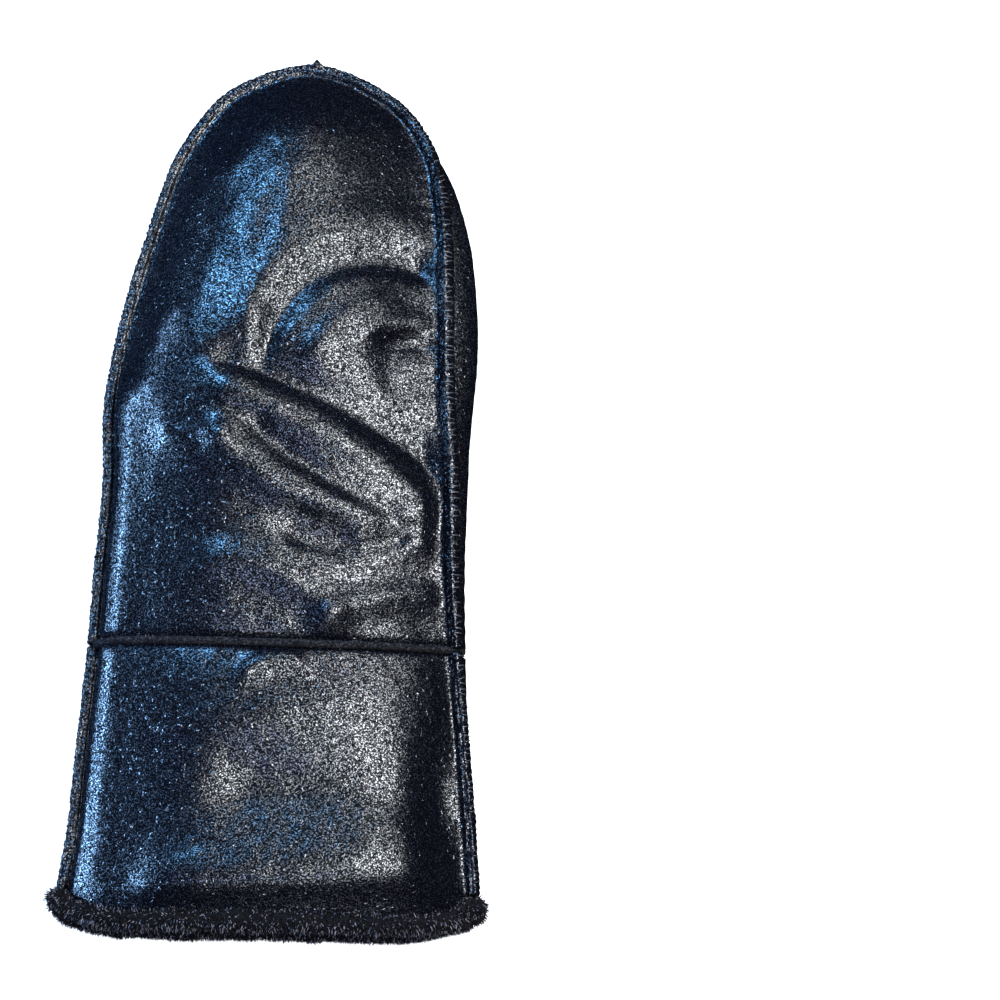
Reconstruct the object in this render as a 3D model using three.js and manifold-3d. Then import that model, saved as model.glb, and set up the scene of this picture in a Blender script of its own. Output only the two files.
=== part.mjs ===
// A left-hand leather mitten with a fleece lining, lying on its palm with its back up.
// Millimetres. +Y runs to the fingertips, -Y to the mouth of the cuff, +X is the thumb side and +Z is up.
// The origin is on the surface that the mitten lies on, under the middle of its box.
import * as THREE from "three";
import { mergeVertices } from "three/addons/utils/BufferGeometryUtils.js";
import Module from "manifold-3d";

const wasm = await Module();
wasm.setup();

// Walls and clearances
const LEATHER = 1.6;
const GAP = 0.3;
const PILE = 2.6;
const PILE_CLEARANCE = 1.1;

// Raised sewn edge where back and palm meet
const SEAM_HALF_WIDTH = 1.7;
const SEAM_HALF_HEIGHT = 2.5;
const SEAM_PROUD = 0.5;
const EDGE_INSET = SEAM_HALF_WIDTH + GAP;
const EDGE_LIFT = LEATHER + 0.2;
const SEAM_SIDES = 6;

// Rolled seam round the wrist, nearly square to the length of the mitten and a little bowed
const WRIST_Y = -50.4;
const WRIST_SLANT = -0.029;
const WRIST_BOW = -2;
const WRIST_HALF_WIDTH = 54;
const WRIST_SEAM_RADIUS = 1.9;
const WRIST_CUT = WRIST_SEAM_RADIUS + 3 * GAP;
const WRIST_PINCH = 0.12;
const WRIST_PINCH_LENGTH = 11;
const WRIST_SEAM_LIFT = 1.9;
const WRIST_SEAM_LIFT_LENGTH = 13;

// How the stuffed back and the palm run in from the seam
const FILL_POWER = 1.3;
const CROWN_SLOPE = 0.05;
const FOLD_FADE = 7;
const FLANK = 13;

// The folded thumb, and the room that the palm leaves over it
const THUMB_ROOM = 14.6;
const ROOM = { left: -19, full: 2, start: -57.4, rise: 33, end: 82.6, fall: 34, kept: 0.35 };
const THUMB_HOLE = { x: 22.9, y: 4.6, halfWidth: 17.5, halfLength: 25 };
const PALM_CUT = [5, 24];
const FLEECE_CUT = [5, 22.5];
const THUMB_SEAM_RADIUS = 1.2;

// Where the rows of the hand end and the rays round the fingertips begin, how closely the points of a
// row crowd at the sewn edge, and how finely each panel is cut up
const FAN_Y = 74;
const ROW_CROWDING = 1.2;
const BACK_GRID = { rows: 23, rays: 28, across: 10 };
const PALM_GRID = { rows: 12, rays: 16, across: 7 };
const CUFF_BACK_GRID = { rows: 13, across: 20 };
const CUFF_PALM_GRID = { rows: 8, across: 16 };
const HAND_SEAM_STEPS = 88;
const CUFF_SEAM_STEPS = 14;
const WRIST_SEAM_COLUMNS = 22;
const THUMB_SEAM_STEPS = 30;

// Mouth of the cuff: the hem's middle and how far its corners are drawn up
const HEM_Y = -130.8;
const HEM_DRAW = 8.5;
const HEM_DRAW_POWER = 7;
const HEM_MIDDLE = 0;
const HEM_HALF_WIDTH = 60;
const HEM_SLANT = -0.02;
const HEM_CLEARANCE = 1;

// The sewn edge seen from above, from the left end of the hem round the fingertips to the right end
const OUTLINE = [
  [-61.7, -133.4], [-59.9, -120.4], [-57.6, -104.4], [-55.9, -80.4], [-53.7, -53.4], [-52.3, -25.4],
  [-50.5, 0.6], [-51, 24.6], [-47.4, 50.6], [-40.9, 76.6], [-33.1, 102.1], [-26, 115.2],
  [-16.7, 126.2], [-4.1, 132.6], [7.9, 135.2], [18.9, 133], [28.9, 127.8], [37.4, 121.4],
  [43.5, 113.4], [47.8, 103.6], [50.3, 92.6], [52.1, 75.6], [52.8, 50.6], [53.1, 25.6],
  [54.5, 0.6], [54.7, -25.4], [55.9, -53.4], [57.9, -80.4], [59.7, -104.4], [60.7, -120.4],
  [61.5, -133.4],
];
const OUTLINE_TIP = 14;
const OUTLINE_SAMPLES = 420;

// Cross sections along the length: height of the sewn edge on the left and on the right, how far the
// right edge is turned up on to the back in degrees, how far the palm swells out beyond it, height of
// the back, and the distance in which the back gains most of that height
const SECTIONS = table(
  ["y", "seamLeft", "seamRight", "turn", "swell", "crown", "roll"],
  [
    [-135.4, 10, 12, 10, 3.6, 26, 12],
    [-104.4, 10, 13, 12, 4.2, 28.5, 12.5],
    [-79.4, 10, 14.5, 15, 4.6, 29, 12],
    [-53.4, 10.5, 18, 25, 5.4, 29.5, 11],
    [-24.4, 11, 24, 36, 6.2, 32, 11],
    [5.6, 11, 27, 42, 7.6, 34, 11],
    [35.6, 11, 28, 42, 11.6, 35, 13],
    [65.6, 11, 27, 42, 11, 34, 15],
    [90.6, 11, 22, 32, 8, 31, 16],
    [112.6, 12, 16, 16, 4, 27.5, 15],
    [136.6, 13, 13, 0, 0, 24, 13],
  ],
);

// Folds of the back, each along a bowed line from (x0, y0) to (x1, y1). Bow moves its middle to the
// left of that direction. Left and right are its spreads to each side, height is + for a crest.
const FOLDS = table(
  ["x0", "y0", "x1", "y1", "bow", "left", "right", "height"],
  [
    [-32.1, 38.6, 4.9, 106.6, 6, 12, 10, 1.6],
    [-42.1, 62.6, -13.1, 119.6, 5, 3, 4, -1.5],
    [-38.1, 27.6, -31.1, 48.6, 2, 3, 3, 0.7],
    [-22.1, 42.6, -15.1, 60.6, 1, 2, 2.5, -0.7],
    [-3.1, 42.6, 41.9, 78.6, 7, 8, 4, 2.1],
    [5.9, 40.6, 41.9, 69.6, 5, 5, 5, -2.4],
    [20.9, 27.6, 46.9, 61.6, 6, 6, 4, 2],
    [31.9, 39.1, 48.9, 46.1, 1, 5, 1.8, 1.4],
    [32.9, 32.6, 48.9, 39.6, 1, 3, 4, -2.6],
    [41.9, 30.6, 49.9, 32.6, 0, 3, 3, 1],
    [-9.1, 28.6, 52.9, 1.6, 5, 4, 3, -2.4],
    [-13.1, 23.6, 45.9, -3.4, 3.5, 4, 4, 1.8],
    [-2.1, 16.6, 36.9, -3.4, -2.5, 3, 3, -2.2],
    [-7.1, -0.4, 45.9, -5.4, -8.5, 5, 3.5, 2.1],
    [8.9, -16.4, 34.9, -17.4, -3.5, 3.5, 3.5, -1.4],
    [-16.1, -14.4, 3.9, -18.4, 0, 5, 6, -0.9],
    [29.9, -24.4, 44.9, -12.4, -1, 3, 4, 1.1],
    [15.9, -32.4, 48.9, -29.4, -3, 3, 2.5, -1.3],
    [-13.1, -27.4, 18.9, -44.4, 3, 6, 4, 1.6],
    [20.9, -42.4, 49.9, -32.4, 1, 3, 4, 1.3],
    [-31.1, 15.1, -12.1, 15.6, 0, 2.5, 3.5, 0.8],
    [-51.1, 6.6, -42.1, 9.6, 0, 3, 3, -1.2],
    [-46.1, 27.6, -48.1, -43.4, 0, 3, 4, 0.9],
    [-7.1, -59.4, 15.9, -59.4, 0, 3, 4, 0.8],
    [1.9, -90.4, 45.9, -85.4, 0, 13, 6, 1.8],
    [-5.1, -96.4, 43.9, -113.4, 1, 6, 7, -1.8],
    [-53.1, -123.4, 51.9, -125.9, -1.5, 6, 6, 2],
    [-48.1, -56.4, -47.1, -117.4, 0, 4, 5, 1.1],
    [-56.1, -111.4, -54.1, -120.4, 0, 3, 3, 0.8],
    [51.4, -67.4, 53.9, -119.4, 0, 2.5, 2.5, -1.2],
  ],
);

// Rings of the folded thumb from its root to its tip: its upper and lower points, its middle across
// and its half width
const THUMB_RINGS = table(
  ["topY", "topZ", "lowY", "lowZ", "x", "halfWidth"],
  [
    [29.6, 13.8, -20.4, 13.8, 22.9, 17.5],
    [30.6, 13.8, -22.4, 9.5, 23.1, 18],
    [31.6, 13.8, -20.9, 4, 23.7, 18.8],
    [33.1, 13.8, -14.4, 0.8, 24.7, 19.6],
    [36.6, 13.8, -3.4, 0, 25.9, 20.2],
    [42.6, 13.8, 16.6, 0, 27.9, 20.5],
    [52.6, 13.8, 40.6, 0, 29.9, 20.3],
    [62.6, 13.6, 58.6, 0, 31.5, 19.6],
    [71.6, 12.8, 71.1, 0, 32.5, 17.6],
    [78.6, 11.2, 79.1, 1, 33.1, 14],
    [83.2, 9.2, 83.6, 3, 33.4, 8.6],
  ],
);
const THUMB_TIP = [33.5, 85, 6.2];
const THUMB_SIDES = 20;
const THUMB_SQUARENESS = 0.78;

// Rows of the fleece from the closed end to the hem: y, how much of the section is left there, how far
// the row follows the curve of the hem, and how far it keeps off the leather to pass the wrist seam
const FLEECE_ROWS = table(
  ["y", "share", "hem", "off"],
  [
    [125.6, 0.35, 0, 0], [121.6, 0.8, 0, 0], [114.6, 1, 0, 0], [104.6, 1, 0, 0],
    [93.6, 1, 0, 0], [81.6, 1, 0, 0], [68.6, 1, 0, 0], [55.6, 1, 0, 0],
    [41.6, 1, 0, 0], [27.6, 1, 0, 0], [13.6, 1, 0, 0], [-0.4, 1, 0, 0],
    [-14.4, 1, 0, 0], [-28.4, 1, 0, 0], [-41.4, 1, 0, 0.6], [-50.4, 1, 0, 1.3],
    [-59.4, 1, 0, 0.6], [-73.4, 1, 0, 0], [-90.4, 1, 0, 0], [-107.4, 1, 0.4, 0],
    [-121.4, 1, 0.9, 0],
  ],
);

// The pile's lip at the mouth, from under the leather's edge round to the hollow: how far it stands
// out beyond the hem, how far it grows up and down and sideways, how far it follows the curve of the
// hem, and how far round it the leather's faces are looked up
const LIP = table(
  ["beyond", "grow", "side", "hem", "reach"],
  [
    [-1, 0, 0, 1, 4], [1, 0.2, 1.3, 1, 4], [1.3, 2.3, 7.2, 1, 2], [2.6, 2.8, 10, 0.9, 0],
    [4.4, 2.3, 9.6, 0.82, 0], [5.3, 0.4, 6.6, 0.8, 1], [4.9, -1.1, 2.6, 0.85, 2],
    [3.2, -2.2, -0.8, 0.9, 4], [0, -2.6, -2.6, 1, 4],
  ],
);
const LIP_TUFT = 0.5;
const PALM_HEM = 0.92;
const FLEECE_COLUMNS = 12;
const FLEECE_SIDE = 6.3;
const FLEECE_FLOOR = 0.5;
const FLEECE_REACH = 4;

// Colours
const BLACK_LEATHER = { color: 0x0c0d10, roughness: 0.32, metalness: 0 };
const SEAM_EDGE = { color: 0x15161a, roughness: 0.5, metalness: 0 };
const FLEECE = { color: 0x1b1b1e, roughness: 0.95, metalness: 0 };

// Rows of numbers as objects with the named columns
function table(columns, rows) {
  return rows.map((row) => Object.fromEntries(columns.map((name, i) => [name, row[i]])));
}

function clamp(value, low, high) {
  return Math.min(Math.max(value, low), high);
}

// Smooth step from 0 to 1
function ease(t) {
  const s = clamp(t, 0, 1);
  return s * s * (3 - 2 * s);
}

function mix(a, b, t) {
  return a + (b - a) * t;
}

// Cubic curve through values at their knots, with each slope taken from the two neighbours
function through(knots, values, at) {
  const last = knots.length - 1;
  let i = 0;
  while (i < last - 1 && at > knots[i + 1]) i += 1;
  const slope = (k) => {
    const a = Math.max(k - 1, 0);
    const b = Math.min(k + 1, last);
    return (values[b] - values[a]) / (knots[b] - knots[a]);
  };
  const span = knots[i + 1] - knots[i];
  const t = clamp((at - knots[i]) / span, 0, 1);
  const rise = values[i + 1] - values[i];
  const bend = (slope(i) * span - rise) * (1 - t) + (rise - slope(i + 1) * span) * t;
  return values[i] + rise * t + t * (1 - t) * bend;
}

const SECTION_Y = SECTIONS.map((row) => row.y);

// A named size of the cross section at y
function section(name, y) {
  return through(SECTION_Y, SECTIONS.map((row) => row[name]), y);
}

// The sewn edge as many short steps, each with its outward direction and the sizes of its section
function sampleOutline() {
  const knots = [0];
  for (let i = 1; i < OUTLINE.length; i += 1) {
    const step = Math.hypot(OUTLINE[i][0] - OUTLINE[i - 1][0], OUTLINE[i][1] - OUTLINE[i - 1][1]);
    knots.push(knots[i - 1] + step);
  }
  const xs = OUTLINE.map((point) => point[0]);
  const ys = OUTLINE.map((point) => point[1]);
  const total = knots[knots.length - 1];
  const place = (s) => [through(knots, xs, s), through(knots, ys, s)];
  const samples = [];
  for (let i = 0; i <= OUTLINE_SAMPLES; i += 1) {
    const s = (total * i) / OUTLINE_SAMPLES;
    const [x, y] = place(s);
    const [x0, y0] = place(Math.max(s - 1, 0));
    const [x1, y1] = place(Math.min(s + 1, total));
    const length = Math.hypot(x1 - x0, y1 - y0);
    const right = s > knots[OUTLINE_TIP];
    samples.push({
      s,
      x,
      y,
      nx: -(y1 - y0) / length,
      ny: (x1 - x0) / length,
      z: section(right ? "seamRight" : "seamLeft", y),
      turn: right ? THREE.MathUtils.degToRad(section("turn", y)) : 0,
      swell: right ? section("swell", y) : 0,
    });
  }
  return samples;
}

const SEAM = sampleOutline();
const SEAM_TIP = SEAM.findIndex((sample) => sample.turn > 0);

// The sewn edge between two samples
function between(a, b, t) {
  return Object.fromEntries(Object.keys(a).map((name) => [name, mix(a[name], b[name], t)]));
}

// The nearest place on the sewn edge, with the distance inwards from it
function nearest(x, y) {
  let best = Infinity;
  let found = [0, 0];
  for (let i = 0; i + 1 < SEAM.length; i += 1) {
    const a = SEAM[i];
    const dx = SEAM[i + 1].x - a.x;
    const dy = SEAM[i + 1].y - a.y;
    const t = clamp(((x - a.x) * dx + (y - a.y) * dy) / (dx * dx + dy * dy), 0, 1);
    const away = Math.hypot(x - a.x - dx * t, y - a.y - dy * t);
    if (away < best) {
      best = away;
      found = [i, t];
    }
  }
  const [i, t] = found;
  const foot = between(SEAM[i], SEAM[i + 1], t);
  foot.distance = (foot.x - x) * foot.nx + (foot.y - y) * foot.ny;
  return foot;
}

// The place on the left or right sewn edge at a given y
function sideAt(y, right) {
  const side = right ? SEAM.slice(SEAM_TIP) : SEAM.slice(0, SEAM_TIP).reverse();
  let i = 0;
  while (i < side.length - 2 && side[i + 1].y > y) i += 1;
  return between(side[i], side[i + 1], clamp((side[i].y - y) / (side[i].y - side[i + 1].y), 0, 1));
}

function wristBow(x) {
  return WRIST_BOW * (1 - (x / WRIST_HALF_WIDTH) ** 2);
}

function wristY(x) {
  return WRIST_Y + WRIST_SLANT * x + wristBow(x);
}

// The hem is nearly straight, and drawn up at both ends
function hemY(x) {
  const side = clamp(Math.abs(x - HEM_MIDDLE) / HEM_HALF_WIDTH, 0, 1);
  return HEM_Y + HEM_SLANT * x + HEM_DRAW * side ** HEM_DRAW_POWER;
}

// A fold is a bell across its line, with its own spread to each side, and fades past its ends
function folds(x, y) {
  let sum = 0;
  for (const fold of FOLDS) {
    const length = Math.hypot(fold.x1 - fold.x0, fold.y1 - fold.y0);
    const ux = (fold.x1 - fold.x0) / length;
    const uy = (fold.y1 - fold.y0) / length;
    const along = (x - fold.x0) * ux + (y - fold.y0) * uy;
    const t = along / length;
    const bow = t > 0 && t < 1 ? 4 * t * (1 - t) * fold.bow : 0;
    const across = (y - fold.y0) * ux - (x - fold.x0) * uy - bow;
    const spread = across > 0 ? fold.left : fold.right;
    const past = Math.max(-along, along - length, 0) / (fold.left + fold.right);
    sum += fold.height * Math.exp(-((across / spread) ** 2) - 3 * past * past);
  }
  return sum;
}

// Where the outer face of the back or of the palm meets the sewn edge, which may be turned up
function edgeInset(foot, up) {
  return EDGE_INSET * Math.cos(foot.turn) + up * EDGE_LIFT * Math.sin(foot.turn);
}

function edgeHeight(foot, up) {
  return foot.z - EDGE_INSET * Math.sin(foot.turn) + up * EDGE_LIFT * Math.cos(foot.turn);
}

// Height of the outer face of the back, hand and cuff alike
function backHeight(x, y) {
  const foot = nearest(x, y);
  const start = edgeHeight(foot, 1);
  const inwards = Math.max(foot.distance - edgeInset(foot, 1), 0);
  const fill = 1 - Math.exp(-((inwards / section("roll", y)) ** FILL_POWER));
  const pinch = 1 - WRIST_PINCH * Math.exp(-(((y - wristY(x)) / WRIST_PINCH_LENGTH) ** 2));
  const crown = section("crown", y) + CROWN_SLOPE * x;
  return start + (crown - start) * fill * pinch + folds(x, y) * ease(inwards / FOLD_FADE);
}

// Height at which the palm rests: the surface below, the folded thumb, or the wrist seam's lower side
function restHeight(x, y) {
  const across = ease((x - ROOM.left) / (ROOM.full - ROOM.left));
  const past = ease((y - ROOM.end) / ROOM.fall) * (1 - ROOM.kept);
  const along = ease((y - ROOM.start) / ROOM.rise) * (1 - past);
  const overSeam = 1 - Math.abs(y - wristY(x)) / WRIST_SEAM_LIFT_LENGTH;
  return Math.max(THUMB_ROOM * across * along, WRIST_SEAM_LIFT * ease(overSeam));
}

// A point of the palm's outer face: the plan point, moved outwards and down on the flank by the seam
function palmPoint(x, y) {
  const foot = nearest(x, y);
  const t = clamp((foot.distance - edgeInset(foot, -1)) / FLANK, 0, 1);
  const out = foot.swell * Math.sin(Math.PI * t) + FLANK * t * (1 - t);
  const drop = (1 - Math.cos(Math.PI * t)) / 2;
  const z = mix(edgeHeight(foot, -1), restHeight(x, y), drop);
  return new THREE.Vector3(x + foot.nx * out, y + foot.ny * out, z);
}

function backPoint(x, y) {
  return new THREE.Vector3(x, y, backHeight(x, y));
}

// Plan points of the hand, as rows up to FAN_Y and rays round the fingertips that all end on the
// middle line, and the triangles between them, anticlockwise seen from above
function handGrid({ rows: rowCount, rays: rayCount, across }, inset) {
  const stations = [];
  const points = [];
  const place = (x, y, row) => points.push([x, y + wristBow(x) * (1 - row / rowCount)]) - 1;
  const pair = (t) => {
    return [false, true].map((right) => {
      const first = sideAt(mix(WRIST_Y, FAN_Y, t), right);
      return sideAt(mix(wristY(first.x) + WRIST_CUT, FAN_Y, t), right);
    });
  };
  const rows = Array.from({ length: rowCount + 1 }, (_, i) => pair(i / rowCount));
  const middle = rows.map(([left, right]) => [(left.x + right.x) / 2, (left.y + right.y) / 2]);
  middle.forEach(([x, y], i) => place(x, y, i));
  rows.forEach(([left], i) => stations.push({ foot: left, end: i }));
  const [topLeft, topRight] = rows[rowCount];
  for (let i = 1; i < rayCount; i += 1) {
    const s = mix(topLeft.s, topRight.s, i / rayCount);
    const k = SEAM.findIndex((sample) => sample.s >= s);
    const a = SEAM[k - 1];
    stations.push({ foot: between(a, SEAM[k], (s - a.s) / (SEAM[k].s - a.s)), end: rowCount });
  }
  rows.forEach((_, i) => stations.push({ foot: rows[rowCount - i][1], end: rowCount - i }));
  const index = stations.map(({ foot, end }) => {
    const startX = foot.x - foot.nx * inset(foot);
    const startY = foot.y - foot.ny * inset(foot);
    const column = [];
    for (let j = 0; j < across; j += 1) {
      const t = (j / across) ** ROW_CROWDING;
      column.push(place(mix(startX, middle[end][0], t), mix(startY, middle[end][1], t), end));
    }
    return [...column, end];
  });
  return { points, triangles: gridTriangles(index) };
}

// Plan points of the cuff in rows from the wrist to the hem, with the same triangles
function cuffGrid({ rows: rowCount, across }, inset) {
  const points = [];
  const index = [];
  for (let i = 0; i <= rowCount; i += 1) {
    const ends = [false, true].map((right) => {
      const first = sideAt(mix(WRIST_Y, HEM_Y + HEM_DRAW, i / rowCount), right);
      const y = mix(wristY(first.x) - WRIST_CUT, hemY(first.x), i / rowCount);
      const foot = sideAt(y, right);
      return foot.x - foot.nx * inset(foot);
    });
    const row = [];
    for (let j = 0; j <= across; j += 1) {
      const x = mix(ends[0], ends[1], (1 - Math.cos((Math.PI * j) / across)) / 2);
      row.push(points.length);
      points.push([x, mix(wristY(x) - WRIST_CUT, hemY(x), i / rowCount)]);
    }
    index.unshift(row);
  }
  return { points, triangles: gridTriangles(index) };
}

// Two triangles for each cell between neighbouring columns, or one where they share their end
function gridTriangles(index) {
  const triangles = [];
  for (let i = 0; i + 1 < index.length; i += 1) {
    for (let j = 0; j + 1 < index[i].length; j += 1) {
      const [a, b, c, d] = [index[i][j], index[i + 1][j], index[i + 1][j + 1], index[i][j + 1]];
      if (d !== c) triangles.push([a, d, c]);
      triangles.push([a, c, b]);
    }
  }
  return triangles;
}

// A closed mesh with its faces pointing out
function solid(points, triangles) {
  let volume = 0;
  for (const [a, b, c] of triangles) {
    volume += points[a].dot(new THREE.Vector3().crossVectors(points[b], points[c]));
  }
  const faces = volume < 0 ? triangles.map(([a, b, c]) => [a, c, b]) : triangles;
  const geometry = new THREE.BufferGeometry();
  geometry.setAttribute("position", new THREE.Float32BufferAttribute(points.flatMap((p) => p.toArray()), 3));
  geometry.setIndex(faces.flat());
  geometry.computeVertexNormals();
  return geometry;
}

// A wall under an open surface, whose triangles face out: the same surface again, moved in along its
// normals, and a rim round every free edge
function wall(points, triangles, thickness) {
  const normals = points.map(() => new THREE.Vector3());
  for (const [a, b, c] of triangles) {
    const ab = new THREE.Vector3().subVectors(points[b], points[a]);
    const ac = new THREE.Vector3().subVectors(points[c], points[a]);
    const normal = ab.cross(ac);
    [a, b, c].forEach((k) => normals[k].add(normal));
  }
  const inner = points.map((p, i) => p.clone().addScaledVector(normals[i].normalize(), -thickness));
  const count = points.length;
  const faces = [];
  const edges = new Map();
  for (const [a, b, c] of triangles) {
    faces.push([a, b, c], [a + count, c + count, b + count]);
    for (const [p, q] of [[a, b], [b, c], [c, a]]) {
      const back = `${q},${p}`;
      if (edges.has(back)) edges.delete(back);
      else edges.set(`${p},${q}`, [p, q]);
    }
  }
  for (const [p, q] of edges.values()) {
    faces.push([q, p, p + count], [q, p + count, q + count]);
  }
  return solid([...points, ...inner], faces);
}

// A bead with an oval section along a path. Each station has its centre and the two half axes.
function bead(stations, closed) {
  const points = [];
  const triangles = [];
  for (const { centre, out, up } of stations) {
    for (let k = 0; k < SEAM_SIDES; k += 1) {
      const angle = (2 * Math.PI * (k + 0.5)) / SEAM_SIDES;
      const point = centre.clone().addScaledVector(out, Math.cos(angle));
      points.push(point.addScaledVector(up, Math.sin(angle)));
    }
  }
  const count = stations.length;
  for (let i = 0; i < (closed ? count : count - 1); i += 1) {
    for (let k = 0; k < SEAM_SIDES; k += 1) {
      const next = (k + 1) % SEAM_SIDES;
      const a = i * SEAM_SIDES;
      const b = ((i + 1) % count) * SEAM_SIDES;
      triangles.push([a + k, b + k, b + next], [a + k, b + next, a + next]);
    }
  }
  if (!closed) {
    const end = (count - 1) * SEAM_SIDES;
    for (let k = 1; k + 1 < SEAM_SIDES; k += 1) {
      triangles.push([0, k, k + 1], [end, end + k + 1, end + k]);
    }
  }
  return solid(points, triangles);
}

// The raised sewn edge between two places on the outline
function sewnEdge([from, to], steps) {
  const stations = [];
  for (let i = 0; i <= steps; i += 1) {
    const s = mix(from, to, i / steps);
    const k = clamp(SEAM.findIndex((sample) => sample.s >= s), 1, SEAM.length - 1);
    const a = SEAM[k - 1];
    const foot = between(a, SEAM[k], (s - a.s) / (SEAM[k].s - a.s));
    const side = new THREE.Vector3(foot.nx, foot.ny, 0);
    const out = side.clone().multiplyScalar(Math.cos(foot.turn));
    out.z = Math.sin(foot.turn);
    const up = side.multiplyScalar(-Math.sin(foot.turn));
    up.z = Math.cos(foot.turn);
    const centre = new THREE.Vector3(foot.x, foot.y, foot.z).addScaledVector(up, SEAM_PROUD);
    out.multiplyScalar(SEAM_HALF_WIDTH);
    up.multiplyScalar(SEAM_HALF_HEIGHT);
    stations.push({ centre, out, up });
  }
  return bead(stations, false);
}

// The rolled seam round the wrist: over the back, round the left edge, under the palm and up again
function wristSeam() {
  const left = sideAt(WRIST_Y, false);
  const right = sideAt(WRIST_Y, true);
  const spread = (j) => (1 - Math.cos((Math.PI * j) / WRIST_SEAM_COLUMNS)) / 2;
  const loop = [];
  for (let j = 1; j < WRIST_SEAM_COLUMNS; j += 1) {
    const x = mix(right.x - edgeInset(right, 1), left.x + edgeInset(left, 1), spread(j));
    loop.push(backPoint(x, wristY(x)));
  }
  loop.push(new THREE.Vector3(left.x - 0.6, wristY(left.x), left.z));
  for (let j = 1; j < WRIST_SEAM_COLUMNS; j += 1) {
    const x = mix(left.x + edgeInset(left, -1), right.x - edgeInset(right, -1), spread(j));
    loop.push(palmPoint(x, wristY(x)));
  }
  loop.push(new THREE.Vector3(right.x + 1.4, wristY(right.x), right.z + 0.6));
  let path = loop;
  for (let pass = 0; pass < 2; pass += 1) {
    path = path.map((p, i) => {
      const before = path[(i + path.length - 1) % path.length];
      const after = path[(i + 1) % path.length];
      return p.clone().multiplyScalar(2).add(before).add(after).divideScalar(4);
    });
  }
  const stations = path.map((p, i) => {
    const before = path[(i + path.length - 1) % path.length];
    const after = path[(i + 1) % path.length];
    const out = new THREE.Vector3(after.z - before.z, 0, before.x - after.x).normalize();
    const centre = p.clone().addScaledVector(out, -LEATHER / 4);
    centre.y = wristY(centre.x);
    out.multiplyScalar(WRIST_SEAM_RADIUS);
    return { centre, out, up: new THREE.Vector3(0, WRIST_SEAM_RADIUS, 0) };
  });
  return bead(stations, true);
}

// The sewn rim of the thumb hole, level with the palm above the thumb
function thumbSeam() {
  const stations = [];
  for (let i = 0; i < THUMB_SEAM_STEPS; i += 1) {
    const angle = (2 * Math.PI * i) / THUMB_SEAM_STEPS;
    const x = THUMB_HOLE.x + THUMB_HOLE.halfWidth * Math.cos(angle);
    const y = THUMB_HOLE.y + THUMB_HOLE.halfLength * Math.sin(angle);
    const out = new THREE.Vector3(Math.cos(angle) / THUMB_HOLE.halfWidth, 0, 0);
    out.y = Math.sin(angle) / THUMB_HOLE.halfLength;
    out.setLength(THUMB_SEAM_RADIUS);
    const centre = new THREE.Vector3(x, y, THUMB_ROOM + LEATHER / 2);
    stations.push({ centre, out, up: new THREE.Vector3(0, 0, THUMB_SEAM_RADIUS) });
  }
  return bead(stations, true);
}

// The folded thumb: squarish rings that swing from the level hole to upright, and close at the tip
function thumb() {
  const points = [];
  const index = [];
  const bulge = (value) => Math.sign(value) * Math.abs(value) ** THUMB_SQUARENESS;
  for (const ring of THUMB_RINGS) {
    const row = [];
    for (let k = 0; k < THUMB_SIDES; k += 1) {
      const angle = (2 * Math.PI * k) / THUMB_SIDES;
      const t = (1 + bulge(Math.cos(angle))) / 2;
      const z = mix(ring.lowZ, ring.topZ, t);
      row.push(points.length);
      points.push(new THREE.Vector3(
        ring.x + ring.halfWidth * bulge(Math.sin(angle)),
        mix(ring.lowY, ring.topY, t),
        Math.max(z, 0),
      ));
    }
    index.push([...row, row[0]]);
  }
  const triangles = gridTriangles(index);
  const tip = points.length;
  points.push(new THREE.Vector3(...THUMB_TIP));
  const lastRing = index[index.length - 1];
  for (let k = 0; k < THUMB_SIDES; k += 1) {
    triangles.push([lastRing[k], lastRing[k + 1], tip]);
  }
  return wall(points, facingAwayFrom(points, triangles, new THREE.Vector3(29, 40, 7)), LEATHER);
}

// Turns an open surface so that most of it faces away from a point inside
function facingAwayFrom(points, triangles, inside) {
  let sum = 0;
  for (const [a, b, c] of triangles) {
    const ab = new THREE.Vector3().subVectors(points[b], points[a]);
    const ac = new THREE.Vector3().subVectors(points[c], points[a]);
    sum += ab.cross(ac).dot(new THREE.Vector3().subVectors(points[a], inside));
  }
  return sum < 0 ? triangles.map(([a, b, c]) => [a, c, b]) : triangles;
}

// An upright oval block round the thumb hole, between two heights
function holeCutter(margin, low, high) {
  const outline = new THREE.Shape();
  const halfWidth = THUMB_HOLE.halfWidth + margin;
  const halfLength = THUMB_HOLE.halfLength + margin;
  outline.absellipse(THUMB_HOLE.x, THUMB_HOLE.y, halfWidth, halfLength, 0, 2 * Math.PI, false, 0);
  const block = new THREE.ExtrudeGeometry(outline, {
    depth: high - low,
    bevelEnabled: false,
    curveSegments: THUMB_SEAM_STEPS,
  });
  return block.translate(0, 0, low);
}

// Cuts one closed mesh out of another
function cut(geometry, cutter) {
  const toManifold = (source) => {
    const bare = source.clone();
    bare.deleteAttribute("normal");
    bare.deleteAttribute("uv");
    const merged = mergeVertices(bare, 1e-4);
    const mesh = new wasm.Mesh({
      numProp: 3,
      vertProperties: new Float32Array(merged.attributes.position.array),
      triVerts: new Uint32Array(merged.index.array),
    });
    return new wasm.Manifold(mesh);
  };
  const result = toManifold(geometry).subtract(toManifold(cutter)).getMesh();
  const shape = new THREE.BufferGeometry();
  shape.setAttribute("position", new THREE.BufferAttribute(result.vertProperties, 3));
  shape.setIndex(new THREE.BufferAttribute(result.triVerts, 1));
  shape.computeVertexNormals();
  return shape;
}

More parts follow.
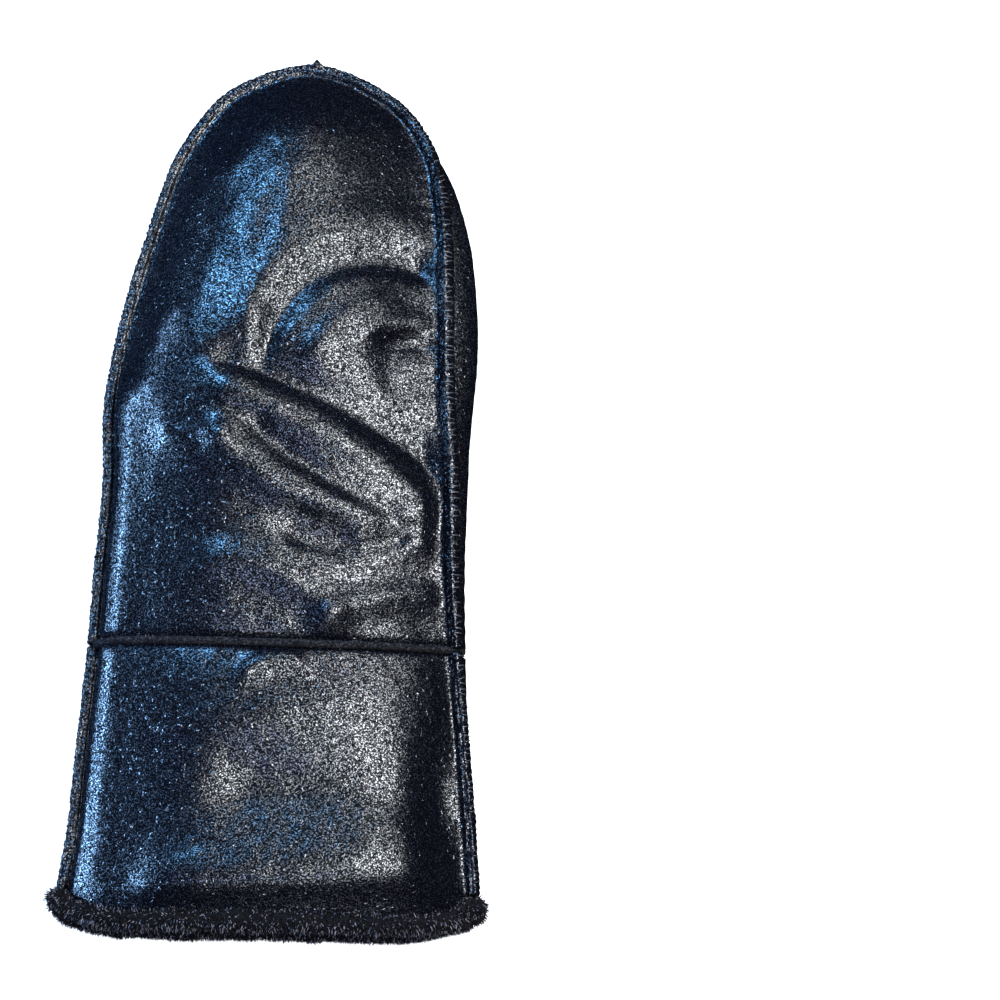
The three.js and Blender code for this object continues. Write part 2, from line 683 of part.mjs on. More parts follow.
// Height of the palm's outer face on its flank and inwards, as if the flank did not swell
function palmHeight(x, y) {
  const foot = nearest(x, y);
  const inwards = Math.max(foot.distance - edgeInset(foot, -1), 0);
  const t = Math.min(Math.sqrt(inwards / FLANK), 1);
  return mix(edgeHeight(foot, -1), restHeight(x, y), (1 - Math.cos(Math.PI * t)) / 2);
}

// The lowest or the highest place of a face within reach of a point
function nearby(height, pick, x, y, reach) {
  const steps = [-reach, 0, reach];
  return pick(...steps.flatMap((dx) => steps.map((dy) => height(x + dx, y + dy))));
}

// One ring of the fleece, as its upper columns from left to right and its lower ones back again
function fleeceRing({ y, share, hem, off, grow, side, tuft, reach }) {
  const left = sideAt(Math.max(y, HEM_Y), false);
  const right = sideAt(Math.max(y, HEM_Y), true);
  const middle = (left.x + right.x) / 2;
  const width = ((right.x - left.x) / 2 - FLEECE_SIDE + side) * mix(0.8, 1, share);
  const skin = LEATHER + PILE_CLEARANCE + off - grow;
  const upper = [];
  const lower = [];
  for (let k = 0; k <= FLEECE_COLUMNS; k += 1) {
    const t = -Math.cos((Math.PI * k) / FLEECE_COLUMNS);
    const x = middle + width * t;
    const uneven = tuft * Math.sin(2.3 * k + 0.8 * y);
    const rowY = y + hem * (hemY(x) - HEM_Y) + uneven;
    const lowY = y + hem * (hemY(x * PALM_HEM) - HEM_Y) + uneven;
    const inX = clamp(x, left.x + FLEECE_SIDE, right.x - FLEECE_SIDE);
    const inY = Math.max(rowY, hemY(inX) + reach);
    const top = nearby(backHeight, Math.min, inX, inY, reach) - skin;
    const bottom = nearby(palmHeight, Math.max, inX, inY, reach) + skin;
    const half = Math.max(((top - bottom) / 2) * share * Math.sqrt(1 - 0.96 * t ** 8), 0.4);
    const centre = (top + bottom) / 2;
    upper.push(new THREE.Vector3(x, rowY, centre + half));
    lower.push(new THREE.Vector3(x, lowY, Math.max(centre - half, FLEECE_FLOOR)));
  }
  return [...upper, ...lower.reverse()];
}

// The fleece: a bag from its closed end out to the lip and back along the hollow
function fleece() {
  const inside = { tuft: 0, reach: FLEECE_REACH };
  const outer = FLEECE_ROWS.map((row) => ({ ...row, ...inside, grow: 0, side: 0 }));
  const lip = LIP.map((row) => {
    return { ...row, y: HEM_Y - row.beyond, share: 1, off: 0, tuft: row.beyond > 2 ? LIP_TUFT : 0 };
  });
  const inner = FLEECE_ROWS.slice(1).reverse().map((row) => {
    return { ...row, ...inside, grow: -PILE, side: -PILE };
  });
  const rings = [...outer, ...lip, ...inner].map(fleeceRing);
  const around = rings[0].length;
  const index = rings.map((_, i) => Array.from({ length: around + 1 }, (__, k) => i * around + (k % around)));
  const triangles = gridTriangles(index);
  const last = (rings.length - 1) * around;
  for (let k = 0; k < FLEECE_COLUMNS; k += 1) {
    const [a, b, c, d] = [k, k + 1, around - 2 - k, around - 1 - k];
    triangles.push([a, c, b], [a, d, c]);
    triangles.push([last + a, last + b, last + c], [last + a, last + c, last + d]);
  }
  return solid(rings.flat(), triangles);
}

const part = new THREE.Group();

function add(name, geometry, finish) {
  const mesh = new THREE.Mesh(geometry, new THREE.MeshStandardMaterial(finish));
  mesh.name = name;
  part.add(mesh);
}

function backWall(grid) {
  return wall(grid.points.map(([x, y]) => backPoint(x, y)), grid.triangles, LEATHER);
}

function palmWall(grid) {
  const facingDown = grid.triangles.map(([a, b, c]) => [a, c, b]);
  return wall(grid.points.map(([x, y]) => palmPoint(x, y)), facingDown, LEATHER);
}

const insetBack = (foot) => edgeInset(foot, 1);
const insetPalm = (foot) => edgeInset(foot, -1);

// The two ends of a stretch of the sewn edge on one side, between two heights along the mitten
function stretch(right, lowY, highY) {
  return [sideAt(lowY, right).s, sideAt(highY, right).s];
}

const leftWrist = wristY(-WRIST_HALF_WIDTH);
const rightWrist = wristY(WRIST_HALF_WIDTH);
const beside = WRIST_CUT + GAP;
const leftHem = hemY(-HEM_HALF_WIDTH) + HEM_CLEARANCE;
const rightHem = hemY(HEM_HALF_WIDTH) + HEM_CLEARANCE;
const handEnds = [sideAt(leftWrist + beside, false).s, sideAt(rightWrist + beside, true).s];

add("back_panel", backWall(handGrid(BACK_GRID, insetBack)), BLACK_LEATHER);
const palm = palmWall(handGrid(PALM_GRID, insetPalm));
add("palm_panel", cut(palm, holeCutter(THUMB_SEAM_RADIUS + GAP, ...PALM_CUT)), BLACK_LEATHER);
add("cuff_back", backWall(cuffGrid(CUFF_BACK_GRID, insetBack)), BLACK_LEATHER);
add("cuff_palm", palmWall(cuffGrid(CUFF_PALM_GRID, insetPalm)), BLACK_LEATHER);
add("thumb", thumb(), BLACK_LEATHER);
add("hand_seam", sewnEdge(handEnds, HAND_SEAM_STEPS), SEAM_EDGE);
add("cuff_seam_left", sewnEdge(stretch(false, leftHem, leftWrist - beside), CUFF_SEAM_STEPS), SEAM_EDGE);
add("cuff_seam_right", sewnEdge(stretch(true, rightHem, rightWrist - beside), CUFF_SEAM_STEPS), SEAM_EDGE);
add("wrist_seam", wristSeam(), SEAM_EDGE);
add("thumb_seam", thumbSeam(), SEAM_EDGE);
add("fleece_lining", cut(fleece(), holeCutter(0, ...FLEECE_CUT)), FLEECE);

export default part;
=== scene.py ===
"""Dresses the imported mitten: leather with its folds and grain, sewn edges, thread and fleece.

Shapes are worked out in millimetres and put into the meshes in metres. +Y runs to the fingertips,
+X is the thumb side and +Z is up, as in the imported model.
"""

import math

import bpy
import numpy as np
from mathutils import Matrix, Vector


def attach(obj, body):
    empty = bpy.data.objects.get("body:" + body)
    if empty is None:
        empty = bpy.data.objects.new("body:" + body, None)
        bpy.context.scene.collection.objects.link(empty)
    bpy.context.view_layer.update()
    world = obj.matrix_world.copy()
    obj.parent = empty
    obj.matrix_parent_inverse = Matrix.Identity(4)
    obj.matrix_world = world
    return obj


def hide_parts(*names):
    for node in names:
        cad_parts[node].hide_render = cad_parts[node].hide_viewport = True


bl_info = {
    "name": "Lined Leather Mitten",
    "version": (1, 0, 0),
    "blender": (4, 5, 0),
    "location": "View3D > Sidebar > Mitten",
    "description": "Builds the looks of a lined leather mitten around its packed model",
    "category": "Object",
}

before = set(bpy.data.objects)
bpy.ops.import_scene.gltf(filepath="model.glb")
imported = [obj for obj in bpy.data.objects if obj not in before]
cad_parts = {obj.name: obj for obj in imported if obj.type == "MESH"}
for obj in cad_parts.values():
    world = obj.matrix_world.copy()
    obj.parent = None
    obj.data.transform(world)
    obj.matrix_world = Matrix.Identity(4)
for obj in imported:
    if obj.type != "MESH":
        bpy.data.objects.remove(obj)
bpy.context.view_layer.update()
MM = 0.001

# Walls and the raised sewn edge. Lengths here and below are in millimetres
LEATHER = 1.6
SEAM_HALF_WIDTH = 1.7
SEAM_HALF_HEIGHT = 2.5
SEAM_PROUD = 0.5
EDGE_INSET = 2.0
EDGE_LIFT = 1.8
TUCK = 1.3
RIDGE_INSET = 0.7
RIDGE_TURN = 1.8
RIDGE_RISE = 1.1
RIDGE_WIDTH = 1.3
RIDGE_SOFTNESS = 0.25
WELT_STEP = 0.45
WELT_SIDES = 22
WELT_TAPER = 1.2
WELT_END = 0.45
GROOVE_DEPTH = 0.24
GROOVE_DEGREES = 16
GATHER_DEPTH = 0.05
WELT_CRUMPLE = 0.12
WELT_SWELL = 0.1
NUB_PAST_TIP = 2.8
NUB_WIDTH = 1.1
NUB_RISE = 0.9
HEM_WELT_PAST = 1
HAND_WELT_PAST = 0.2
CUFF_WELT_GAP = 0.6

# Rows of stitches: angles of the edge's section where its threads start and end, and share kept
STITCH_ROWS = ((-0.5, 0.95, 0.8), (1.9, 2.6, 0.6))
STITCH_HEM_GAP = 2
STITCH_WRIST_GAP = 2.5
STITCH_SHIFT = 0.3
STITCH_REACH_SHIFT = 0.25
STITCH_LEAN = 0.5
STITCH_RADII = (0.6, 1.2)

# Rolled seam round the wrist
WRIST_Y = -50.4
WRIST_SLANT = -0.029
WRIST_BOW = -2
WRIST_HALF_WIDTH = 54
WRIST_SEAM_RADIUS = 1.7
WRIST_SEAM_HALF_WIDTH = 1.1
WRIST_SEAM_SINK = 0.9
WRIST_SEAM_STEP = 0.5
WRIST_SEAM_SIDES = 18
WRIST_STATIONS = 24
WRIST_LEFT_END = 2.4
WRIST_RIGHT_END = 3.2
WRIST_RIGHT_RISE = 0.6
HAND_GAP_SHARE = 0.4
FUZZ_COUNT = 9000
FUZZ_SIZE = (1.1, 0.2)
FUZZ_SPREAD = 0.9
FUZZ_SEAT = 0.9
FUZZ_SHADE = 0.6
WRIST_GAP = 1.2
WRIST_ROLL = 3.6
WRIST_ROLL_DROP = 2.4
WRIST_PINCH = 0.07
WRIST_PINCH_LENGTH = 7
WRIST_SEAM_LIFT = 1.9
WRIST_SEAM_LIFT_LENGTH = 13

# How the stuffed back and the palm run in from the seam
FILL_POWER = 1.3
FILL_END = 32
FILL_END_POWER = 6
LEVEL_POWER = 6
DOME = 8
DOME_MIDDLE = -8
DOME_WIDTH = 55
DOME_DROP = 3.8
FOLD_FADE = 7
FOLD_END = 3
FLANK = 13
FLANK_FALL = 0.62

# The firmer wall beside the left seam, the fuller right side of the cuff, and where each begins
LEFT_WALL = {"x": 20, "y": 45, "fade": 25, "rise": 0.42, "width": 1.2, "roll": 1.35, "power": 1.05}
CUFF_SIDE = {"x": 25, "y": -40, "fade": 20, "roll": 0.72}

# Unevenness of the leather, and the puckers that its seams draw
WAVE_HEIGHT = 0.12
LONG_WAVE = 13
SHORT_WAVE = 6
CRUMPLE_HEIGHTS = (0.07, 0.04)
CRUMPLE_SIZES = (2.6, 1.5)
PUCKER_HEIGHT = 0.3
PUCKER_PITCH = 4.6
PUCKER_REACH = 5
WRINKLE_FADE = 4
PALM_WRINKLES = 0.7
PALM_FLAT = 0.3
PALM_FLAT_FADE = 3

# The folded thumb, and the room that the palm leaves over it
THUMB_ROOM = 14.6
ROOM = {"left": -19, "full": 2, "start": -57.4, "rise": 33, "end": 82.6, "fall": 34, "kept": 0.35}
THUMB_HOLE = {"x": 22.9, "y": 4.6, "half_width": 17.5, "half_length": 25}
THUMB_HOLE_LOW = 5
PALM_HOLE_TOP = 24
FLEECE_HOLE_TOP = 22.5
THUMB_SEAM_RADIUS = 1.2
THUMB_SEAM_STATIONS = 220
THUMB_SEAM_SIDES = 12
THUMB_STITCHES = 70
THUMB_STITCH_DEPTH = 0.08
THUMB_CREASE = 0.5
THUMB_CRUMPLE = 0.2

# Mouth of the cuff
HEM_Y = -130.8
HEM_DRAW = 8.5
HEM_DRAW_POWER = 7
HEM_HALF_WIDTH = 60
HEM_SLANT = -0.02
HEM_ROLL = 8
HEM_ROLL_DROP = 1.7

# Slot of the model, and name of the finish given to the piece
LEATHER_FINISH = ("black_leather", "grained_leather")
EDGE_FINISH = ("seam_edge", "edge_leather")
FLEECE_FINISH = ("fleece", "dense_fleece")

# Grain of the leather: waves of each noise to a distance between ridges, parts in the height, how
# sharp the ridges are, where specks start, and the line and steepness of the gloss
GRAIN_WARP = 0.8
WARP_WAVES = 0.4
PORE_WAVES = 2.2
LUMP_WAVES = 0.3
SPECK_WAVES = 0.6
LUMP_PART = 0.9
RIDGE_PART = 0.5
PORE_PART = 0.4
SPECK_PART = 25
RIDGE_SHARPNESS = 7
SPECK_START = 0.6
GLOSS_STEEPNESS = 6.5
GLOSS_LINE = 2.95
GLOSS_LEAST = 0.03
# Painted glint: how many times lighter the base colour is on the glossiest ridge tops
PAINTED_GLINT_TONE = 7
PATCH_WAVES = 45
PATCH_ROUGHNESS = (0.95, 0.1)
EDGE_GRAIN_DEPTH = 1.6

# Fibres of the cut edge, twist of the thread and locks of the fleece: waves to the metre, tones,
# contrast and depth in metres
FIBRE_WAVES = 1500
FIBRE_TONES = (0.05, 0.29)
FIBRE_CONTRAST = (5, 2.4)
FIBRE_DEPTH = 0.0005
TWIST_WAVES = 4200
TWIST_STRETCH = (1, 1, 0.4)
TWIST_TONE = 0.4
TWIST_DEPTH = 0.00008
LOCK_WAVES = 420
LOCK_TONE = 0.03
LOCK_CONTRAST = (2, 2.2, 1.9)
LOCK_DEPTH = 0.0012

# Rows and columns of the leather panels and the thumb
GRIDS = {
    "hand_back": (250, 160),
    "hand_palm": (170, 120),
    "cuff_upper": (130, 160),
    "cuff_under": (80, 110),
    "thumb_pouch": (110, 84),
}

# The sewn edge seen from above, from the left end of the hem round the fingertips to the right end
OUTLINE = np.array([
    (-61.7, -133.4), (-59.9, -120.4), (-57.6, -104.4), (-55.9, -80.4), (-53.7, -53.4),
    (-52.3, -25.4), (-50.5, 0.6), (-51, 24.6), (-47.4, 50.6), (-40.9, 76.6), (-33.1, 102.1),
    (-26, 115.2), (-16.7, 126.2), (-4.1, 132.6), (7.9, 135.2), (18.9, 133), (28.9, 127.8),
    (37.4, 121.4), (43.5, 113.4), (47.8, 103.6), (50.3, 92.6), (52.1, 75.6), (52.8, 50.6),
    (53.1, 25.6), (54.5, 0.6), (54.7, -25.4), (55.9, -53.4), (57.9, -80.4), (59.7, -104.4),
    (60.7, -120.4), (61.5, -133.4),
])
OUTLINE_TIP = 14
LEFT_CORNER = 11
RIGHT_CORNER = 18
OUTLINE_SAMPLES = 1200

# Cross sections along the length, as in the model
SECTION_COLUMNS = ("y", "seam_left", "seam_right", "turn", "swell", "crown", "roll")
SECTIONS = np.array([
    (-135.4, 10, 12, 10, 3.6, 26, 12),
    (-104.4, 10, 13, 12, 4.2, 28.5, 12.5),
    (-79.4, 10, 14.5, 15, 4.6, 29, 12),
    (-53.4, 10.5, 18, 25, 5.4, 29.5, 11),
    (-24.4, 11, 24, 36, 6.2, 32, 11),
    (5.6, 11, 27, 42, 7.6, 34, 11),
    (35.6, 11, 28, 42, 11.6, 35, 13),
    (65.6, 11, 27, 42, 11, 34, 15),
    (90.6, 11, 22, 32, 8, 31, 16),
    (112.6, 12, 16, 16, 4, 27.5, 15),
    (136.6, 13, 13, 0, 0, 24, 13),
])

# Folds of the back: x and y of both ends, bow to the left, spread to the left and right, height
FOLDS = (
    (-40.9, 62.3, -17.2, 123.1, 5.4, 3, 3.4, -1.3),
    (-11.8, 83.6, -22.6, 100.6, -1.7, 3.3, 6.1, 0.4),
    (-14.8, 82.6, -0.5, 100, 1.7, 6, 8, -0.9),
    (-20.1, 81.1, -19.1, 93.5, 1.1, 5, 6, 1),
    (-7.8, 61, -0.5, 83.1, -0.6, 7, 4.3, -0.6),
    (-31.9, 33, 5.8, 108.5, 11.6, 15, 19, 2.8),
    (-11.7, 53.8, -12.6, 63, -0.4, 6.7, 5, -0.8),
    (-15.6, 47.2, -10.4, 68.1, -0.6, 3.6, 6, -0.2),
    (-20.8, 42.5, -15.4, 62, 0.9, 2.5, 2.9, -0.2),
    (-1.4, 43.6, -10.8, 60.3, 2.4, 5.7, 4.6, 0.5),
    (-19.1, -22, 0.1, -17.2, -0.6, 7.3, 8.9, -0.4),
    (10.1, -20.1, 33.4, -21.5, -0.3, 7.3, 3.5, -1.6),
    (29, -21.2, 44.7, -21.3, -0.7, 4.7, 4.5, 2),
    (-4.5, -60, 7.9, -57.5, 1.2, 2.7, 4.3, 1.4),
    (-28, -122.5, 42, -120, 0, 10, 5.5, 2.9),
    (-38.1, 27.6, -31.1, 48.6, 2, 4, 5, 0.8),
    (-6, 38, 39, 79, 11, 10, 8, 1.1),
    (0.5, 42.5, 48, 62, 12, 8.5, 4.8, -2.7),
    (14, 36, 31, 51, 1, 5, 8, 1.6),
    (31, 43, 48, 46, 1, 4.5, 2.8, 1.3),
    (35, 39.5, 50, 38.5, 1, 3, 3.6, -1.3),
    (37.5, 38, 36, 27, -1, 4.5, 4, -0.9),
    (-11, 32, 52.5, -1.5, 3, 8, 3.4, -2.5),
    (-12, 22.5, 45, -8, 2.5, 4.4, 4.6, 1.5),
    (-3, 11, 36, -13, -2, 3.4, 3.4, -1.5),
    (-30, 10.5, -14, 9.5, -1, 3.4, 5, 1.2),
    (-14, 6, 46, -13, -7.5, 7, 4.8, 2.4),
    (9.2, -22.4, 37.9, -21.4, -2.5, 3.2, 3.2, -1.2),
    (-14.7, -28.3, 19.7, -44.3, 4, 6.3, 4.6, 1.6),
    (17.5, -45.3, 48.5, -36.6, 2, 4, 4.6, 1.8),
    (-44.6, 24, -46, -43.4, 0, 6, 4, 1),
    (0, -75, 48, -66, -0.4, 9, 16, 1.2),
    (-2, -95, 46, -97.5, 0.5, 14, 10, -3.2),
    (40, -106, 40, -102, 0, 24, 9, 4.2),
    (-48.1, -56.4, -48.6, -117.4, 0, 6, 4, 0.9),
)

# Rings of the folded thumb: upper y and z, lower y and z, middle across, half width
THUMB_RINGS = np.array([
    (29.6, 13.8, -20.4, 13.8, 22.9, 17.5),
    (30.6, 13.8, -22.4, 9.5, 23.1, 18),
    (31.6, 13.8, -20.9, 4, 23.7, 18.8),
    (33.1, 13.8, -14.4, 0.8, 24.7, 19.6),
    (36.6, 13.8, -3.4, 0, 25.9, 20.2),
    (42.6, 13.8, 16.6, 0, 27.9, 20.5),
    (52.6, 13.8, 40.6, 0, 29.9, 20.3),
    (62.6, 13.6, 58.6, 0, 31.5, 19.6),
    (71.6, 12.8, 71.1, 0, 32.5, 17.6),
    (78.6, 11.2, 79.1, 1, 33.1, 14),
    (83.2, 9.2, 83.6, 3, 33.4, 8.6),
])
THUMB_TIP = (33.5, 85, 6.2)
THUMB_SQUARENESS = 0.78

# Rows of the fleece: y, share of the section left, how far it follows the hem, extra clearance
FLEECE_ROWS = np.array([
    (125.6, 0.35, 0, 0), (121.6, 0.8, 0, 0), (114.6, 1, 0, 0), (104.6, 1, 0, 0), (81.6, 1, 0, 0),
    (55.6, 1, 0, 0), (27.6, 1, 0, 0), (-0.4, 1, 0, 0), (-28.4, 1, 0, 0), (-41.4, 1, 0, 0.6),
    (-50.4, 1, 0, 1.3), (-59.4, 1, 0, 0.6), (-73.4, 1, 0, 0), (-90.4, 1, 0, 0), (-107.4, 1, 0.4, 0),
    (-121.4, 1, 0.9, 0),
])
PILE = 2.6
PILE_CLEARANCE = 1.1
FLEECE_SIDE = 6.3
FLEECE_FLOOR = 0.5
FLEECE_REACH = 4
FLEECE_TAPER = 0.8
FLEECE_ROUNDING = 0.96
FLEECE_ROUNDING_POWER = 8
FLEECE_LEAST = 0.4
PALM_HEM = 0.92
PILE_COUNT = 42000
PILE_LEAN = 0.25
PILE_ROWS = 54
# Painted shade down each blade: darkest at the root, where the pile shades itself
PAINTED_ROOT_SHADE = (0.2, 0.2, 0.7, 0.7, 1)
SHADE_TOP = 1.6
SHADE_POWER = 3.2
BLADE_FLOOR = 0.05
TUFT_HEIGHTS = (0.5, 0.3)
TUFT_SIZES = (3.4, 1.7)
TUFT_SINK = 0.3
BAG_COLUMNS = 64
BAG_STEPS = 62
LIP_STEPS = 44

# The pile's lip: how far beyond the hem, growth up and down, growth sideways, how far it follows
# the hem, and how far round it the leather's faces are looked up
LIP = np.array([
    (-1, 1.1, 0, 1, 4), (0.2, 2.2, 3.2, 1, 3), (1, 3, 7, 1, 2), (2.3, 3, 9, 0.92, 0),
    (3.8, 2.2, 8.8, 0.85, 0), (4.6, -0.4, 6.4, 0.82, 1), (4.4, -3, 2.6, 0.86, 2),
    (3, -4.4, -0.8, 0.9, 4), (0, -4, -2.6, 1, 4),
])

# The stage: floor, camera, and lights with their direction from the mitten, width and height, the
# setting that powers them, their share of it, and their colour
FLOOR_HALF = 3.0
FLOOR_GREY = 0.15
ROOM_COLOUR = (0.8, 0.9, 1, 1)
ROOM_STRENGTH = 0.006
CAMERA_ELEVATION = math.radians(75)
CAMERA_DISTANCE = 0.9
CAMERA_TARGET = (0.0684, -0.0042, 0.012)
CAMERA_SENSOR = 36
LIGHT_DISTANCE = 1.2
LIGHTS = (
    ("window", (0.4, -0.02, 0.91), (0.72, 0.64), "key", 1, (0.92, 0.96, 1)),
    ("window_top", (0.35, 0.54, 0.77), (0.8, 0.45), "key", 0.26, (0.92, 0.96, 1)),
    ("front", (0.3, -0.56, 0.77), (0.7, 0.4), "key", 0.2, (0.92, 0.96, 1)),
    ("front_sky", (-0.12, -0.4, 0.91), (0.5, 0.24), "key", 0.11, (0.42, 0.56, 1)),
    ("sky", (-0.33, 0.61, 0.72), (0.31, 0.31), "sky", 1, (0.18, 0.5, 1)),
    ("sky_side", (-0.97, 0.05, 0.2), (1, 0.24), "sky", 2.4, (0.28, 0.55, 1)),
)


def ease(t):
    """Smooth step from 0 to 1."""
    t = np.clip(t, 0, 1)
    return t * t * (3 - 2 * t)


def mix(a, b, t):
    """The value that lies the share t of the way from a to b."""
    return a + (b - a) * t


def unit(vectors):
    """Vectors over their own lengths."""
    return vectors / np.maximum(np.linalg.norm(vectors, axis=-1, keepdims=True), 1e-6)


def full_turn(count):
    """Even angles round a circle."""
    return np.linspace(0, 2 * np.pi, count, endpoint=False)


def through(knots, values, at):
    """Cubic curve through values at their knots. Each slope is the chord of its two neighbours."""
    knots, values = np.asarray(knots, float), np.asarray(values, float)
    slope = np.empty(len(knots))
    slope[1:-1] = (values[2:] - values[:-2]) / (knots[2:] - knots[:-2])
    slope[0] = (values[1] - values[0]) / (knots[1] - knots[0])
    slope[-1] = (values[-1] - values[-2]) / (knots[-1] - knots[-2])
    i = np.clip(np.searchsorted(knots, at) - 1, 0, len(knots) - 2)
    span = knots[i + 1] - knots[i]
    rise = values[i + 1] - values[i]
    t = (at - knots[i]) / span
    bend = (slope[i] * span - rise) * (1 - t) + (rise - slope[i + 1] * span) * t
    return values[i] + rise * t + t * (1 - t) * bend


def section(name, y):
    """A named size of the cross section at y, by a cubic curve through the sections."""
    return through(SECTIONS[:, 0], SECTIONS[:, SECTION_COLUMNS.index(name)], y)


def unevenness(x, y, size, seed):
    """Smooth random height from -1 to 1: values on a lattice of that size, mixed smoothly."""
    side = 64
    lattice = np.random.default_rng(seed).uniform(-1, 1, (side, side))
    u, v = np.asarray(x, float) / size, np.asarray(y, float) / size
    i, j = np.floor(u).astype(int), np.floor(v).astype(int)
    fu, fv = ease(u - i), ease(v - j)
    low = mix(lattice[i % side, j % side], lattice[(i + 1) % side, j % side], fu)
    high = mix(lattice[i % side, (j + 1) % side], lattice[(i + 1) % side, (j + 1) % side], fu)
    return mix(low, high, fv)


def sample_outline():
    """The sewn edge in short steps: arc length, place, outward normal, height, turn and swell.

    It is a cubic curve through the outline's points, over the sum of the chords between them."""
    chords = np.hypot(*np.diff(OUTLINE, axis=0).T)
    knots = np.concatenate([[0], np.cumsum(chords)])
    s = np.linspace(0, knots[-1], OUTLINE_SAMPLES)
    x, y = through(knots, OUTLINE[:, 0], s), through(knots, OUTLINE[:, 1], s)
    dx, dy = np.gradient(x, s), np.gradient(y, s)
    length = np.hypot(dx, dy)
    right = s > knots[OUTLINE_TIP]
    samples = {
        "s": s,
        "x": x,
        "y": y,
        "nx": -dy / length,
        "ny": dx / length,
        "z": np.where(right, section("seam_right", y), section("seam_left", y)),
        "turn": np.where(right, np.radians(section("turn", y)), 0),
        "swell": np.where(right, section("swell", y), 0),
    }
    return samples, knots


SEAM, KNOTS = sample_outline()
TIP_S = KNOTS[OUTLINE_TIP]


def seam_at(s):
    """The sewn edge at arc lengths s, straight between its samples."""
    return {name: np.interp(s, SEAM["s"], values) for name, values in SEAM.items()}


def side_s(y, right):
    """Arc length of the left or right sewn edge where it crosses y."""
    chosen = SEAM["s"] > TIP_S if right else SEAM["s"] <= TIP_S
    ys, ss = SEAM["y"][chosen], SEAM["s"][chosen]
    return np.interp(y, ys[::-1], ss[::-1]) if right else np.interp(y, ys, ss)


def nearest(x, y):
    """The foot of each point on the sewn edge, and its distance inwards from there.

    The foot is the nearest sample, moved along the edge by as much as the point lies past it."""
    shape = np.shape(x)
    px, py = np.ravel(x), np.ravel(y)
    best = np.empty(px.size, int)
    batch = 8000
    for start in range(0, px.size, batch):
        part = slice(start, start + batch)
        away = (px[part, None] - SEAM["x"]) ** 2 + (py[part, None] - SEAM["y"]) ** 2
        best[part] = away.argmin(1)
    step = SEAM["s"][1]
    dx, dy = px - SEAM["x"][best], py - SEAM["y"][best]
    along = dx * SEAM["ny"][best] - dy * SEAM["nx"][best]
    foot = seam_at(SEAM["s"][best] + np.clip(along, -step, step))
    foot["distance"] = (foot["x"] - px) * foot["nx"] + (foot["y"] - py) * foot["ny"]
    return {name: values.reshape(shape) for name, values in foot.items()}


def measure_room():
    """The longest way inwards from the sewn edge at each y, of points near the middle."""
    y = np.linspace(SECTIONS[0, 0], SECTIONS[-1, 0] - 1, 60)
    x, y = np.meshgrid(np.linspace(-20, 20, 41), y)
    return y[:, 0], nearest(x, y)["distance"].max(1)


ROOM_Y, ROOM_INWARDS = measure_room()


def wrist_bow(x):
    """How far the wrist line hangs to the cuff: a parabola that is 0 at both ends."""
    return WRIST_BOW * (1 - (x / WRIST_HALF_WIDTH) ** 2)


def wrist_y(x):
    """The line of the wrist: straight and slanting, plus its bow."""
    return WRIST_Y + WRIST_SLANT * x + wrist_bow(x)


def hem_y(x):
    """The line of the hem: straight and slanting, and drawn up at both ends by a power of x."""
    side = np.clip(np.abs(x) / HEM_HALF_WIDTH, 0, 1)
    return HEM_Y + HEM_SLANT * x + HEM_DRAW * side ** HEM_DRAW_POWER


def folds(x, y):
    """Sum of bells across bowed lines, which fade past their ends."""
    total = np.zeros(np.shape(x))
    for x0, y0, x1, y1, bow, left, right, height in FOLDS:
        length = math.hypot(x1 - x0, y1 - y0)
        ux, uy = (x1 - x0) / length, (y1 - y0) / length
        along = (x - x0) * ux + (y - y0) * uy
        t = along / length
        across = (y - y0) * ux - (x - x0) * uy - 4 * t * (1 - t) * bow
        spread = np.where(across > 0, left, right)
        past = np.maximum(np.maximum(-along, along - length), 0) / (left + right)
        total += height * np.exp(-((across / spread) ** 2) - FOLD_END * past * past)
    return total


def edge_inset(foot, up):
    """How far in from the sewn edge a panel starts, on the upper side (up 1) or lower (up -1).

    It is the inset times the cosine of the section's turn, plus up times the lift times the sine.
    """
    return EDGE_INSET * np.cos(foot["turn"]) + up * EDGE_LIFT * np.sin(foot["turn"])


def edge_height(foot, up):
    """Height at which the panel starts there.

    It is the seam's, less the inset times the turn's sine, plus up times the lift times its
    cosine."""
    return foot["z"] - EDGE_INSET * np.sin(foot["turn"]) + up * EDGE_LIFT * np.cos(foot["turn"])


